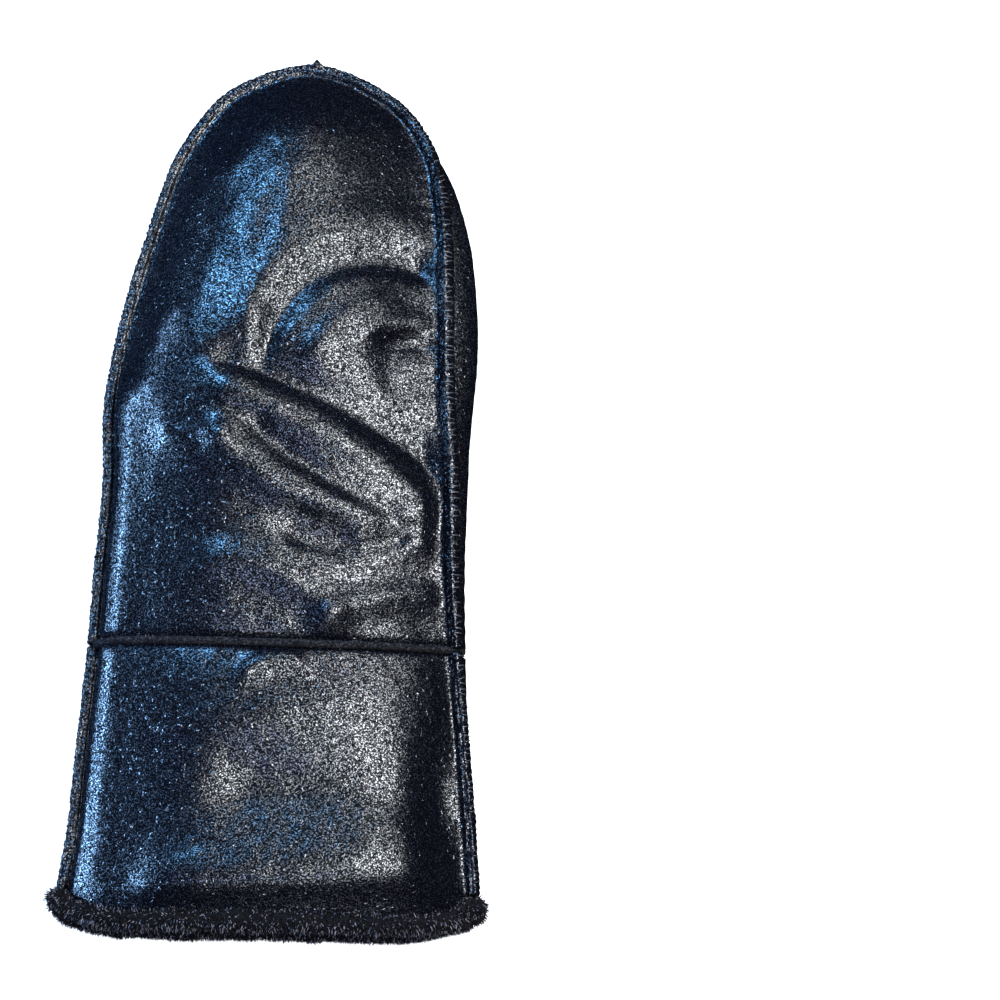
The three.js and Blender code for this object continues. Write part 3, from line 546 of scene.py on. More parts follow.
def back_height(x, y, foot=None):
    """Height of the back's outer face: it rises from the sewn edge to the crown, and has its folds.

    The rise is 1 less an exponential of the way inwards, which levels out at the middle. Beside the
    left seam it starts with a small step and goes on gently, and at the cuff's right it is steeper.
    The crown is a parabola across the mitten, drawn in at the wrist."""
    foot = foot or nearest(x, y)
    start = edge_height(foot, 1)
    inwards = np.maximum(foot["distance"] - edge_inset(foot, 1), 0)
    room = np.maximum(np.interp(y, ROOM_Y, ROOM_INWARDS), 1)
    share = np.clip(inwards / room, 0, 1)
    level = room * (share - share ** LEVEL_POWER / LEVEL_POWER)
    left = ease(-x / LEFT_WALL["x"]) * ease((LEFT_WALL["y"] - y) / LEFT_WALL["fade"])
    right = ease(x / CUFF_SIDE["x"]) * ease((CUFF_SIDE["y"] - y) / CUFF_SIDE["fade"])
    roll = section("roll", y) * mix(1, LEFT_WALL["roll"], left) * mix(1, CUFF_SIDE["roll"], right)
    power = mix(FILL_POWER, LEFT_WALL["power"], left)
    fill = 1 - np.exp(-((level / roll) ** power) - (level / FILL_END) ** FILL_END_POWER)
    step = 1 - np.exp(-((inwards / LEFT_WALL["width"]) ** 2))
    fill += LEFT_WALL["rise"] * left * (1 - fill) * step
    pinch = WRIST_PINCH * np.exp(-(((y - wrist_y(x)) / WRIST_PINCH_LENGTH) ** 2))
    crown = section("crown", y) - DOME_DROP + DOME * (1 - ((x - DOME_MIDDLE) / DOME_WIDTH) ** 2)
    across = ease(x / WRIST_HALF_WIDTH / 2 + 0.5)
    middle = mix(section("seam_left", y), section("seam_right", y), across)
    dip = (crown - middle) * fill * pinch
    return start + (crown - start) * fill - dip + folds(x, y) * ease(inwards / FOLD_FADE)


def rest_height(x, y):
    """Height at which the palm rests: the surface below, the folded thumb, or the wrist seam.

    The room over the thumb is a product of smooth steps across and along it. The lift over the seam
    is a smooth step of the distance from the wrist's line. The higher of the two holds."""
    across = ease((x - ROOM["left"]) / (ROOM["full"] - ROOM["left"]))
    past = ease((y - ROOM["end"]) / ROOM["fall"]) * (1 - ROOM["kept"])
    along = ease((y - ROOM["start"]) / ROOM["rise"]) * (1 - past)
    over_seam = 1 - np.abs(y - wrist_y(x)) / WRIST_SEAM_LIFT_LENGTH
    return np.maximum(THUMB_ROOM * across * along, WRIST_SEAM_LIFT * ease(over_seam))


def palm_points(x, y):
    """Points of the palm: the plan point, moved outwards and down on the flank by the seam.

    It moves outwards by half a sine wave and a parabola of the way in over the flank, and falls by
    half a cosine wave of a power of that way."""
    foot = nearest(x, y)
    t = np.clip((foot["distance"] - edge_inset(foot, -1)) / FLANK, 0, 1)
    out = foot["swell"] * np.sin(np.pi * t) + FLANK * t * (1 - t)
    drop = (1 - np.cos(np.pi * t ** FLANK_FALL)) / 2
    z = mix(edge_height(foot, -1), rest_height(x, y), drop)
    return np.stack([x + foot["nx"] * out, y + foot["ny"] * out, z], -1), foot, t


def palm_height(x, y):
    """Height of the palm's outer face, as if its flank did not swell.

    It falls from the edge by half a cosine wave of the root of the way in over the flank."""
    foot = nearest(x, y)
    inwards = np.maximum(foot["distance"] - edge_inset(foot, -1), 0)
    t = np.minimum(np.sqrt(inwards / FLANK), 1)
    return mix(edge_height(foot, -1), rest_height(x, y), (1 - np.cos(np.pi * t)) / 2)


def wrinkles(x, y, foot):
    """Small unevenness of soft leather: long waves, short ones, and puckers in from the seam.

    A pucker is a cosine along the seam whose phase, strength and reach wander."""
    inwards = np.maximum(foot["distance"], 0)
    turned = x * 0.8 + y * 0.6, y * 0.8 - x * 0.6
    waves = WAVE_HEIGHT * (unevenness(x, y, LONG_WAVE, 1) + unevenness(*turned, SHORT_WAVE, 2))
    crumple = CRUMPLE_HEIGHTS[0] * unevenness(x, y, CRUMPLE_SIZES[0], 3)
    crumple = crumple + CRUMPLE_HEIGHTS[1] * unevenness(x, y, CRUMPLE_SIZES[1], 4)
    along, still = foot["s"], inwards * 0
    phase = 2.2 * unevenness(along, still, 17, 5)
    strength = 0.5 + 0.5 * unevenness(along, still, 23, 6)
    reach = PUCKER_REACH * (1 + 0.5 * unevenness(along, still, 9, 7))
    wave = np.cos(2 * np.pi * along / PUCKER_PITCH + phase)
    pucker = PUCKER_HEIGHT * strength * wave * np.exp(-((inwards / reach) ** 2))
    return (waves + crumple + pucker) * ease(inwards / WRINKLE_FADE)


def coons(left, right, low, high):
    """A patch between four edges that share their corners.

    It is the sum of the two ruled surfaces, less the bilinear one."""
    rows, columns = len(left), len(low)
    u = np.linspace(0, 1, columns)[None, :, None]
    v = np.linspace(0, 1, rows)[:, None, None]
    sides = mix(left[:, None], right[:, None], u)
    ends = mix(low[None], high[None], v)
    corners = mix(mix(low[0], low[-1], u), mix(high[0], high[-1], u), v)
    return sides + ends - corners


def along_seam(s, up):
    """Plan points at arc lengths s, moved in from the sewn edge, and that much less by the tuck."""
    foot = seam_at(s)
    back = edge_inset(foot, up) - TUCK
    return np.stack([foot["x"] - foot["nx"] * back, foot["y"] - foot["ny"] * back], -1)


def crowded(count, share=0.5):
    """Numbers from 0 to 1, closer at both ends: even ones mixed with half a cosine wave."""
    t = np.linspace(0, 1, count)
    return mix(t, (1 - np.cos(np.pi * t)) / 2, share)


def hand_plan(rows, columns, up):
    """Plan points of the hand, as a patch between the wrist, the two sides and the fingertips."""
    gap = WRIST_SEAM_RADIUS * HAND_GAP_SHARE
    first = [side_s(wrist_y(x) + gap, x > 0) for x in (-WRIST_HALF_WIDTH, WRIST_HALF_WIDTH)]
    left = along_seam(mix(first[0], KNOTS[LEFT_CORNER], np.linspace(0, 1, rows)), up)
    right = along_seam(mix(first[1], KNOTS[RIGHT_CORNER], np.linspace(0, 1, rows)), up)
    t = crowded(columns)
    high = along_seam(mix(KNOTS[LEFT_CORNER], KNOTS[RIGHT_CORNER], t), up)
    low = mix(left[0], right[0], t[:, None])
    straight = mix(left[0][1] - wrist_y(left[0][0]), right[0][1] - wrist_y(right[0][0]), t)
    low[:, 1] = wrist_y(low[:, 0]) + straight
    patch = coons(left, right, low, high)
    return patch[..., 0], patch[..., 1]


def cuff_plan(rows, columns, up):
    """Plan points of the cuff in rows from the hem to the wrist.

    They lie on straight lines between the two sides across, and from hem to wrist along."""
    ends = []
    for right in (False, True):
        x = HEM_HALF_WIDTH if right else -HEM_HALF_WIDTH
        at_wrist = wrist_y(WRIST_HALF_WIDTH if right else -WRIST_HALF_WIDTH) - WRIST_GAP
        ends.append(along_seam(side_s(np.linspace(hem_y(x), at_wrist, rows), right), up))
    t = crowded(columns)[None]
    x = mix(ends[0][:, :1], ends[1][:, :1], t)
    v = np.linspace(0, 1, rows)[:, None]
    return x, mix(hem_y(x), wrist_y(x) - WRIST_GAP, v)


def grid_faces(rows, columns, around=False):
    """Quads between neighbouring points of a grid, which may close on itself along its columns."""
    index = np.arange(rows * columns).reshape(rows, columns)
    if around:
        index = np.hstack([index, index[:, :1]])
    corners = [index[:-1, :-1], index[:-1, 1:], index[1:, 1:], index[1:, :-1]]
    return np.stack(corners, -1).reshape(-1, 4)


def add_object(name, data):
    """An object with that data, in the scene."""
    made = bpy.data.objects.new(name, data)
    bpy.context.scene.collection.objects.link(made)
    return made


def make_piece(name, points, faces, node, slot, material):
    """A smooth mesh from points in millimetres, which rides on the mitten and takes its finish.

    The faces are an array or a list. The piece replaces the node, if there is one."""
    mesh = bpy.data.meshes.new(name)
    faces = faces.tolist() if isinstance(faces, np.ndarray) else faces
    mesh.from_pydata(np.reshape(points, (-1, 3)) * MM, [], faces)
    mesh.shade_smooth()
    mesh.update()
    piece = add_object(name, mesh)
    mesh.materials.append(finish(material))
    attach(piece, "root")
    if node:
        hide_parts(node)
    return piece


def apply_modifiers(piece):
    """Bakes the piece's modifiers into its mesh."""
    evaluated = piece.evaluated_get(bpy.context.evaluated_depsgraph_get())
    mesh = bpy.data.meshes.new_from_object(evaluated)
    mesh.name = piece.name
    piece.modifiers.clear()
    piece.data = mesh


def thicken(piece, thickness):
    """Gives a face its wall, inwards from the outer face."""
    wall = piece.modifiers.new("wall", "SOLIDIFY")
    wall.thickness = thickness * MM
    wall.offset = -1
    apply_modifiers(piece)


def leather_panel(name, points, node, under=False):
    """A leather panel from the grid of its outer face, with its wall inwards."""
    faces = grid_faces(*points.shape[:2])
    faces = faces[:, ::-1] if under else faces
    piece = make_piece(name, points, faces, node, *LEATHER_FINISH)
    thicken(piece, LEATHER)
    return piece


def open_thumb_hole(piece, margin, high):
    """Cuts the thumb hole: an upright oval block is taken out up to a height."""
    steps = 72
    angle = full_turn(steps)
    ring_x = THUMB_HOLE["x"] + (THUMB_HOLE["half_width"] + margin) * np.cos(angle)
    ring_y = THUMB_HOLE["y"] + (THUMB_HOLE["half_length"] + margin) * np.sin(angle)
    rings = [np.stack([ring_x, ring_y, np.full(steps, z)], -1) for z in (THUMB_HOLE_LOW, high)]
    sides = grid_faces(2, steps, around=True).tolist()
    ends = [list(range(steps))[::-1], list(range(steps, 2 * steps))]
    mesh = bpy.data.meshes.new("hole")
    mesh.from_pydata(np.concatenate(rings) * MM, [], [*sides, *ends])
    cutter = add_object("hole", mesh)
    hole = piece.modifiers.new("hole", "BOOLEAN")
    hole.operation = "DIFFERENCE"
    hole.solver = "EXACT"
    hole.object = cutter
    apply_modifiers(piece)
    bpy.data.objects.remove(cutter)
    bpy.data.meshes.remove(mesh)


class Value:
    """A number worked out by a material, so that sums and products read as Python."""

    def __init__(self, paint, socket):
        self.paint = paint
        self.socket = socket

    def math(self, operation, *others):
        """The result of an operation on this number and others."""
        return self.paint.math(operation, self, *others)

    def between(self, low, high):
        """The number, held between two limits."""
        return self.math("MAXIMUM", low).math("MINIMUM", high)

    def __add__(self, other):
        return self.math("ADD", other)

    def __sub__(self, other):
        return self.math("SUBTRACT", other)

    def __mul__(self, other):
        return self.math("MULTIPLY", other)

    def __rsub__(self, other):
        return self.paint.math("SUBTRACT", other, self)

    __radd__ = __add__
    __rmul__ = __mul__


class Paint:
    """A material's nodes, made one after the other."""

    def __init__(self, name):
        self.material = bpy.data.materials.new(name)
        self.material.use_nodes = True
        self.tree = self.material.node_tree
        self.shader = self.tree.nodes["Principled BSDF"]

    def node(self, kind, inputs=None, **settings):
        """A node of that kind with its settings, then the values or links of its sockets."""
        made = self.tree.nodes.new(kind)
        for name, value in settings.items():
            setattr(made, name, value)
        for name, value in (inputs or {}).items():
            self.feed(made.inputs[name], value)
        return made

    def feed(self, socket, value):
        """Sets a socket to a value, or links it to what another node gives."""
        if isinstance(value, Value):
            value = value.socket
        if isinstance(value, bpy.types.NodeSocket):
            self.tree.links.new(value, socket)
        else:
            socket.default_value = value

    def math(self, operation, *values):
        """A number worked out by one maths node."""
        made = self.node("ShaderNodeMath", dict(enumerate(values)), operation=operation)
        return Value(self, made.outputs[0])

    def vector(self, operation, inputs):
        """A vector worked out by one node."""
        made = self.node("ShaderNodeVectorMath", inputs, operation=operation)
        return made.outputs[0]

    def place(self, stretch=(1, 1, 1), warp=0, warp_scale=300):
        """Object coordinates in metres, stretched, and moved about by a noise."""
        made = self.node("ShaderNodeTexCoord").outputs["Object"]
        if warp:
            inputs = {"Vector": made, "Scale": warp_scale, "Detail": 1}
            noise = self.node("ShaderNodeTexNoise", inputs).outputs["Color"]
            centred = self.vector("SUBTRACT", {0: noise, 1: (0.5, 0.5, 0.5)})
            shift = self.vector("SCALE", {0: centred, "Scale": warp})
            made = self.vector("ADD", {0: made, 1: shift})
        return self.node("ShaderNodeMapping", {"Vector": made, "Scale": stretch}).outputs[0]

    def noise(self, place, scale, detail=2, roughness=0.5):
        """A smooth random number from 0 to 1, with that many waves to the metre."""
        inputs = {"Vector": place, "Scale": scale, "Detail": detail, "Roughness": roughness}
        return Value(self, self.node("ShaderNodeTexNoise", inputs).outputs["Fac"])

    def colour_mix(self, share, low, high):
        """The colour that lies a share of the way from low to high."""
        made = self.node("ShaderNodeMix", {}, data_type="RGBA")
        self.feed(made.inputs["Factor"], share)
        self.feed(made.inputs[6], low)
        self.feed(made.inputs[7], high)
        return made.outputs[2]

    def bump(self, height, distance):
        """The normal of the surface if it rose by the height times the distance."""
        inputs = {"Height": height, "Distance": distance}
        return self.node("ShaderNodeBump", inputs).outputs["Normal"]

    def settle(self, values):
        """Sets sockets of the shader that are the same all over the surface."""
        for name, value in values.items():
            self.shader.inputs[name].default_value = value

    def finish(self, colour, normal):
        """Links the colour and the normal of the shader, and gives the material."""
        self.feed(self.shader.inputs["Base Color"], colour)
        self.feed(self.shader.inputs["Normal"], normal)
        return self.material


def scaled(colour, share):
    """A colour with its channels times a share."""
    return tuple(c * share for c in colour[:3]) + (1,)


def leather(name, look, depth=1.0):
    """Black leather: fine glossy ridges that wander like threads and are broken by pores, on a
    duller ground. The glossiest ridge tops have a slightly lighter black painted into their colour,
    a painted glint."""
    paint = Paint(name)
    grain = look.grain
    place = paint.place(warp=grain * GRAIN_WARP, warp_scale=WARP_WAVES / grain)
    fine = paint.noise(place, 1 / grain, detail=1.5)
    pores = paint.noise(place, PORE_WAVES / grain, detail=1)
    lumps = paint.noise(place, LUMP_WAVES / grain, detail=1)
    patches = paint.noise(paint.place(), PATCH_WAVES, detail=2)
    ridges = (1 - (fine - 0.5).math("ABSOLUTE") * RIDGE_SHARPNESS).math("MAXIMUM", 0.0)
    specks = paint.noise(place, SPECK_WAVES / grain, detail=1) - SPECK_START
    specks = specks.math("MAXIMUM", 0.0)
    height = lumps * LUMP_PART + ridges * RIDGE_PART + pores * PORE_PART + specks * SPECK_PART
    rough = patches * look.roughness * PATCH_ROUGHNESS[1] + look.roughness * PATCH_ROUGHNESS[0]
    paint.feed(paint.shader.inputs["Roughness"], rough)
    top = (ridges * (pores * GLOSS_STEEPNESS - GLOSS_LINE)).between(GLOSS_LEAST, 1.0)
    # Painted glint: the glossiest ridge tops get a lighter base colour, a painted highlight that
    # shows under any light
    painted_glint = (top * 2 - 1).math("MAXIMUM", 0.0)
    colour = paint.colour_mix(painted_glint, tuple(look.leather), scaled(look.leather, PAINTED_GLINT_TONE))
    paint.finish(colour, paint.bump(height, look.grain_depth * depth))
    ground = paint.node("ShaderNodeBsdfPrincipled", {
        "Base Color": look.leather, "Roughness": 1.0, "Specular IOR Level": 0.0,
    })
    shaders = {"Fac": top, 1: ground.outputs[0], 2: paint.shader.outputs[0]}
    both = paint.node("ShaderNodeMixShader", shaders)
    paint.feed(paint.tree.nodes["Material Output"].inputs["Surface"], both.outputs[0])
    return paint.material


def edge_leather(name, look):
    """The same leather where it is folded and sewn, with a deeper grain."""
    return leather(name, look, EDGE_GRAIN_DEPTH)


def suede(name, look):
    """Matt cut edge: a soft fibrous face with almost no gloss."""
    paint = Paint(name)
    place = paint.place(warp=0.0006, warp_scale=700)
    fibres = paint.noise(place, FIBRE_WAVES, detail=3, roughness=0.7)
    light = scaled(look.fleece, FIBRE_TONES[1])
    shade = (fibres * FIBRE_CONTRAST[0] - FIBRE_CONTRAST[1]).between(0.0, 1.0)
    colour = paint.colour_mix(shade, scaled(light, FIBRE_TONES[0]), light)
    paint.settle({
        "Roughness": 0.95,
        "Specular IOR Level": 0.04,
        "Sheen Weight": 0.002,
        "Sheen Roughness": 0.5,
    })
    return paint.finish(colour, paint.bump(fibres, FIBRE_DEPTH))


def thread(name, look):
    """Waxed thread with a twist that shows as fine slanting ridges."""
    paint = Paint(name)
    twist = paint.noise(paint.place(stretch=TWIST_STRETCH), TWIST_WAVES, detail=1)
    colour = paint.colour_mix(twist, scaled(look.thread, TWIST_TONE), tuple(look.thread))
    paint.settle({"Roughness": 0.4})
    return paint.finish(colour, paint.bump(twist, TWIST_DEPTH))


def fleece(name, look):
    """Dense dull pile, whose locks differ in tone at random and are painted darker towards their
    roots, a painted shade deep in the pile.
    """
    paint = Paint(name)
    place = paint.place(warp=0.002, warp_scale=260)
    locks = paint.noise(place, LOCK_WAVES, detail=3, roughness=0.65)
    # The shade attribute is each blade's random tone, with a painted shade towards its root
    shade = Value(paint, paint.node("ShaderNodeAttribute", attribute_name="shade").outputs["Fac"])
    own, root, dark = LOCK_CONTRAST
    light = (locks * own + shade * root - dark).between(0.0, 1.0)
    colour = paint.colour_mix(light, scaled(look.fleece, LOCK_TONE), tuple(look.fleece))
    paint.settle({
        "Roughness": 0.9,
        "Specular IOR Level": 0.02,
        "Sheen Weight": 0.002,
        "Sheen Roughness": 0.6,
    })
    return paint.finish(colour, paint.bump(locks, LOCK_DEPTH))


FINISHES = {
    "grained_leather": leather,
    "edge_leather": edge_leather,
    "matt_suede": suede,
    "waxed_thread": thread,
    "dense_fleece": fleece,
}


def finish(name):
    """The material of that name, made once."""
    made = bpy.data.materials.get(name)
    return made or FINISHES[name](name, bpy.context.scene.mitten_look)


def ridge(foot):
    """Rise of the leather up the side of the sewn edge, as a bell over the distance from it."""
    inset = RIDGE_INSET * np.cos(foot["turn"]) + RIDGE_TURN * np.sin(foot["turn"])
    distance = foot["distance"] - inset
    soft = 1 + RIDGE_SOFTNESS * unevenness(foot["s"], foot["s"] * 0, 6, 8)
    return RIDGE_RISE * soft * np.exp(-((np.maximum(distance, 0) / RIDGE_WIDTH) ** 2))


def back_face(x, y, hem=False):
    """Outer face of the back with its small wrinkles, rolled over at the hem.

    By the wrist seam and at the hem it drops by the square of the nearness."""
    foot = nearest(x, y)
    z = back_height(x, y, foot)
    z = z + ridge(foot) + wrinkles(x, y, foot)
    z = z - WRIST_ROLL_DROP * np.clip(1 - np.abs(y - wrist_y(x)) / WRIST_ROLL, 0, 1) ** 2
    if hem:
        roll = np.clip(1 - (y - hem_y(x)) / HEM_ROLL, 0, 1)
        z = z - HEM_ROLL_DROP * roll ** 2
    return np.stack([x, y, z], -1)


def palm_face(x, y):
    """Outer face of the palm, flat where it rests.

    Its wrinkles move the flank outwards, by half a sine wave of the way in, and lower the rest."""
    points, foot, t = palm_points(x, y)
    above = ease((points[..., 2] - PALM_FLAT) / PALM_FLAT_FADE)
    out = wrinkles(x, y, foot) * PALM_WRINKLES * above
    points[..., 0] += foot["nx"] * out * np.sin(np.pi * t)
    points[..., 1] += foot["ny"] * out * np.sin(np.pi * t)
    points[..., 2] = np.maximum(points[..., 2] - np.abs(out) * (t > 0.5), 0)
    return points


def bead(stations, rings, close):
    """Points and faces of a bead along a path.

    A point is the centre of its station, plus the out axis times the cosine of its angle and the up
    axis times the sine, both times its radius."""
    centre, out, up = stations
    a, radius = rings
    points = centre[:, None] + out[:, None] * (radius * np.cos(a))[..., None]
    points = points + up[:, None] * (radius * np.sin(a))[..., None]
    rows, columns = points.shape[:2]
    if close:
        points = np.concatenate([points, points[:1]])
        rows += 1
    faces = grid_faces(rows, columns, around=True)
    return points, faces


def seam_frame(s):
    """Centre, outward axis and upward axis of the raised edge at arc lengths s.

    The axes are the normal in plan and the vertical, both turned by the section's turn."""
    foot = seam_at(s)
    side = np.stack([foot["nx"], foot["ny"], np.zeros(len(s))], -1)
    cos, sin = np.cos(foot["turn"])[:, None], np.sin(foot["turn"])[:, None]
    lift = np.array([[0, 0, 1]])
    out = side * cos + lift * sin
    up = lift * cos - side * sin
    centre = np.stack([foot["x"], foot["y"], foot["z"]], -1) + up * SEAM_PROUD
    return centre, out, up


def welt_radius(s, a, pitch):
    """Share of the full section: two cut edges with a groove between, gathered by the stitches.

    It is 1 less a bell round the top, times 1 plus a cosine of the stitches' pitch and a small
    unevenness."""
    groove = 1 - GROOVE_DEPTH * np.exp(-(((np.degrees(a - np.pi / 2)) / GROOVE_DEGREES) ** 2))
    wobble = unevenness(s, s * 0, 7, 11) * 1.3
    gather = GATHER_DEPTH * np.cos(2 * np.pi * s / pitch + wobble)
    gather = gather + WELT_CRUMPLE * unevenness(s, a * 3, 1.4, 12)
    soft = WELT_SWELL * unevenness(s, a * 2, 5, 13)
    return groove * (1 + gather + soft)


def close_ends(points, faces):
    """Adds a point at the middle of each open end of a tube, with triangles to it."""
    rows, columns = points.shape[:2]
    flat = points.reshape(-1, 3)
    ends = np.stack([points[0].mean(0), points[-1].mean(0)])
    ring = np.arange(columns)
    after = np.roll(ring, -1)
    last = (rows - 1) * columns
    first_cap = np.stack([np.full(columns, len(flat)), after, ring], -1)
    last_cap = np.stack([np.full(columns, len(flat) + 1), ring + last, after + last], -1)
    return np.concatenate([flat, ends]), [*faces.tolist(), *first_cap.tolist(), *last_cap.tolist()]


def make_welt(name, ends, node):
    """A stretch of the raised sewn edge, from a section carried along the outline.

    The section is an ellipse times its share. It tapers by a root at both ends, and a bell past the
    middle of the fingertips makes the nub there."""
    sizes = bpy.context.scene.mitten_sizes
    s = np.arange(ends[0], ends[1], WELT_STEP)
    centre, out, up = seam_frame(s)
    a = full_turn(WELT_SIDES)[None]
    radius = welt_radius(s[:, None], a, sizes.stitch_pitch / MM)
    taper = np.clip(np.minimum(s - ends[0], ends[1] - s) / WELT_TAPER + WELT_END, 0, 1) ** 0.5
    nub = NUB_RISE * np.exp(-(((s - TIP_S - NUB_PAST_TIP) / NUB_WIDTH) ** 2))[:, None]
    radius = radius * taper[:, None] * (1 + nub * np.maximum(np.cos(a), 0))
    points, faces = bead((centre, out * SEAM_HALF_WIDTH, up * SEAM_HALF_HEIGHT), (a, radius), False)
    points, faces = close_ends(points, faces)
    make_piece(name, points, faces, node, *EDGE_FINISH)


def stitch_arcs(s, reach, lean, radius):
    """Short threads across the raised edge, each laid round a part of its section.

    A thread is an arc of the section's ellipse between two angles, leaning along the seam, with a
    small round section that narrows to its ends."""
    centre, out, up = seam_frame(s)
    count, steps, sides = len(s), 7, 5
    t = np.linspace(0, 1, steps)
    a = mix(reach[:, :1], reach[:, 1:], t)[..., None]
    tangent = np.cross(out, up)
    radial = out[:, None] * np.cos(a) + up[:, None] * np.sin(a)
    path = (
        centre[:, None]
        + out[:, None] * SEAM_HALF_WIDTH * np.cos(a)
        + up[:, None] * SEAM_HALF_HEIGHT * np.sin(a)
        + tangent[:, None] * (lean[:, None] * (t - 0.5))[..., None]
    )
    ring = full_turn(sides)[:, None]
    around = radial[:, :, None] * np.cos(ring) + tangent[:, None, None] * np.sin(ring)
    width = radius[:, None, None, None] * (0.3 + 0.7 * np.sin(np.pi * t))[:, None, None]
    points = path[:, :, None] + around * width
    one = grid_faces(steps, sides, around=True)
    shift = (np.arange(count) * steps * sides)[:, None, None]
    tubes = (one + shift).reshape(-1, 4)
    fan = np.array([[0, 2, 1], [0, 3, 2], [0, 4, 3]])
    ends = np.concatenate([fan, fan[:, ::-1] + (steps - 1) * sides])
    caps = (ends + shift).reshape(-1, 3)
    return points.reshape(-1, 3), [*tubes.tolist(), *caps.tolist()]


def smooth_loop(path, passes):
    """A closed path, with each point moved towards its two neighbours."""
    for _ in range(passes):
        path = (2 * path + np.roll(path, 1, 0) + np.roll(path, -1, 0)) / 4
    return path


def wrist_path():
    """The ring round the wrist: over the back, round the left edge, under the palm and up again.

    Its points lie on the faces of back and palm, are smoothed and go back to the wrist's line."""
    left = seam_at(side_s(WRIST_Y, False))
    right = seam_at(side_s(WRIST_Y, True))
    t = crowded(WRIST_STATIONS, 1)[1:-1]
    x = mix(right["x"] - edge_inset(right, 1), left["x"] + edge_inset(left, 1), t)
    over = np.stack([x, wrist_y(x), back_height(x, wrist_y(x))], -1)
    x = mix(left["x"] + edge_inset(left, -1), right["x"] - edge_inset(right, -1), t)
    under = palm_points(x, wrist_y(x))[0]
    at_left = [[left["x"] - WRIST_LEFT_END, wrist_y(left["x"]), left["z"]]]
    at_right = [[
        right["x"] + WRIST_RIGHT_END, wrist_y(right["x"]), right["z"] + WRIST_RIGHT_RISE,
    ]]
    path = smooth_loop(np.concatenate([over, at_left, under, at_right]), 2)
    path[:, 1] = wrist_y(path[:, 0])
    return path


def resample_loop(path, step):
    """A closed path at even steps, by a cubic curve through its points."""
    closed = np.concatenate([path, path[:1]])
    knots = np.concatenate([[0], np.cumsum(np.linalg.norm(np.diff(closed, axis=0), axis=1))])
    wrapped = np.concatenate([path[-3:], closed, path[1:4]])
    early = -(knots[-1] - knots[-4:-1])
    late = knots[-1] + knots[1:4]
    s = np.linspace(0, knots[-1], int(knots[-1] / step), endpoint=False)
    knots = np.concatenate([early, knots, late])
    return s, np.stack([through(knots, wrapped[:, k], s) for k in range(3)], -1)


def strands(roots, directions, length, width, seed, spread=0.32, droop=0.35):
    """Short tapering blades, each a quad and a triangle, that lean to random sides and bend down.

    A blade's middle and tip lie half and all of its reach along its lean, moved by its curl. Each
    point has a shade value: its blade's own random tone at the tip, darkened towards the root by a
    painted shade."""
    rng = np.random.default_rng(seed)
    count = len(roots)
    lean = unit(directions + spread * rng.normal(0, 1, (count, 3)))
    side = unit(np.cross(lean, rng.normal(0, 1, (count, 3))))
    reach = (length * rng.uniform(0.5, 1, count))[:, None]
    curl = rng.normal(0, 0.3, (count, 3)) - np.array([0, 0, droop])
    middle = roots + lean * reach * 0.5 + curl * reach * 0.12
    tip = roots + lean * reach + curl * reach * 0.5
    half = side * width / 2
    bend = half * 0.8
    points = np.stack([roots - half, roots + half, middle + bend, middle - bend, tip], 1)
    points[..., 2] = np.maximum(points[..., 2], BLADE_FLOOR)
    first = np.arange(count)[:, None] * 5
    quads = first + np.array([0, 1, 2, 3])
    tips = first + np.array([3, 2, 4])
    own = SHADE_TOP * rng.uniform(0, 1, count)[:, None] ** SHADE_POWER
    shade = own * np.array(PAINTED_ROOT_SHADE)
    return points.reshape(-1, 3), [*quads.tolist(), *tips.tolist()], shade.ravel()


def set_shade(piece, values):
    """Gives each point of a mesh its shade."""
    layer = piece.data.attributes.new("shade", "FLOAT", "POINT")
    layer.data.foreach_set("value", np.asarray(values, np.float32))


def fleece_ring(row, columns):
    """One ring of the fleece: upper columns from left to right and lower ones back again.

    Its half height is half of the room between the leather's faces, times its share, times the root
    of 1 less a power of the way out from the middle."""
    y, share, hem, off, grow, side, reach = row
    left = seam_at(side_s(max(y, HEM_Y), False))
    right = seam_at(side_s(max(y, HEM_Y), True))
    middle = (left["x"] + right["x"]) / 2
    width = ((right["x"] - left["x"]) / 2 - FLEECE_SIDE + side) * mix(FLEECE_TAPER, 1, share)
    skin = LEATHER + PILE_CLEARANCE + off - grow
    t = -np.cos(np.pi * np.linspace(0, 1, columns))
    x = middle + width * t
    upper_y = y + hem * (hem_y(x) - HEM_Y)
    lower_y = y + hem * (hem_y(x * PALM_HEM) - HEM_Y)
    in_x = np.clip(x, left["x"] + FLEECE_SIDE, right["x"] - FLEECE_SIDE)
    in_y = np.maximum(upper_y, hem_y(in_x) + reach)
    near = [(dx, dy) for dx in (-reach, 0, reach) for dy in (-reach, 0, reach)]
    tops = np.stack([back_height(in_x + dx, in_y + dy) for dx, dy in near])
    bottoms = np.stack([palm_height(in_x + dx, in_y + dy) for dx, dy in near])
    top, bottom = tops.min(0) - skin, bottoms.max(0) + skin
    rounding = np.sqrt(1 - FLEECE_ROUNDING * t ** FLEECE_ROUNDING_POWER)
    half = np.maximum((top - bottom) / 2 * share * rounding, FLEECE_LEAST)
    centre = (top + bottom) / 2
    low = np.maximum(centre - half, FLEECE_FLOOR)
    upper = np.stack([x, upper_y, centre + half], -1)
    lower = np.stack([x, lower_y, low], -1)[::-1]
    return np.concatenate([upper, lower])


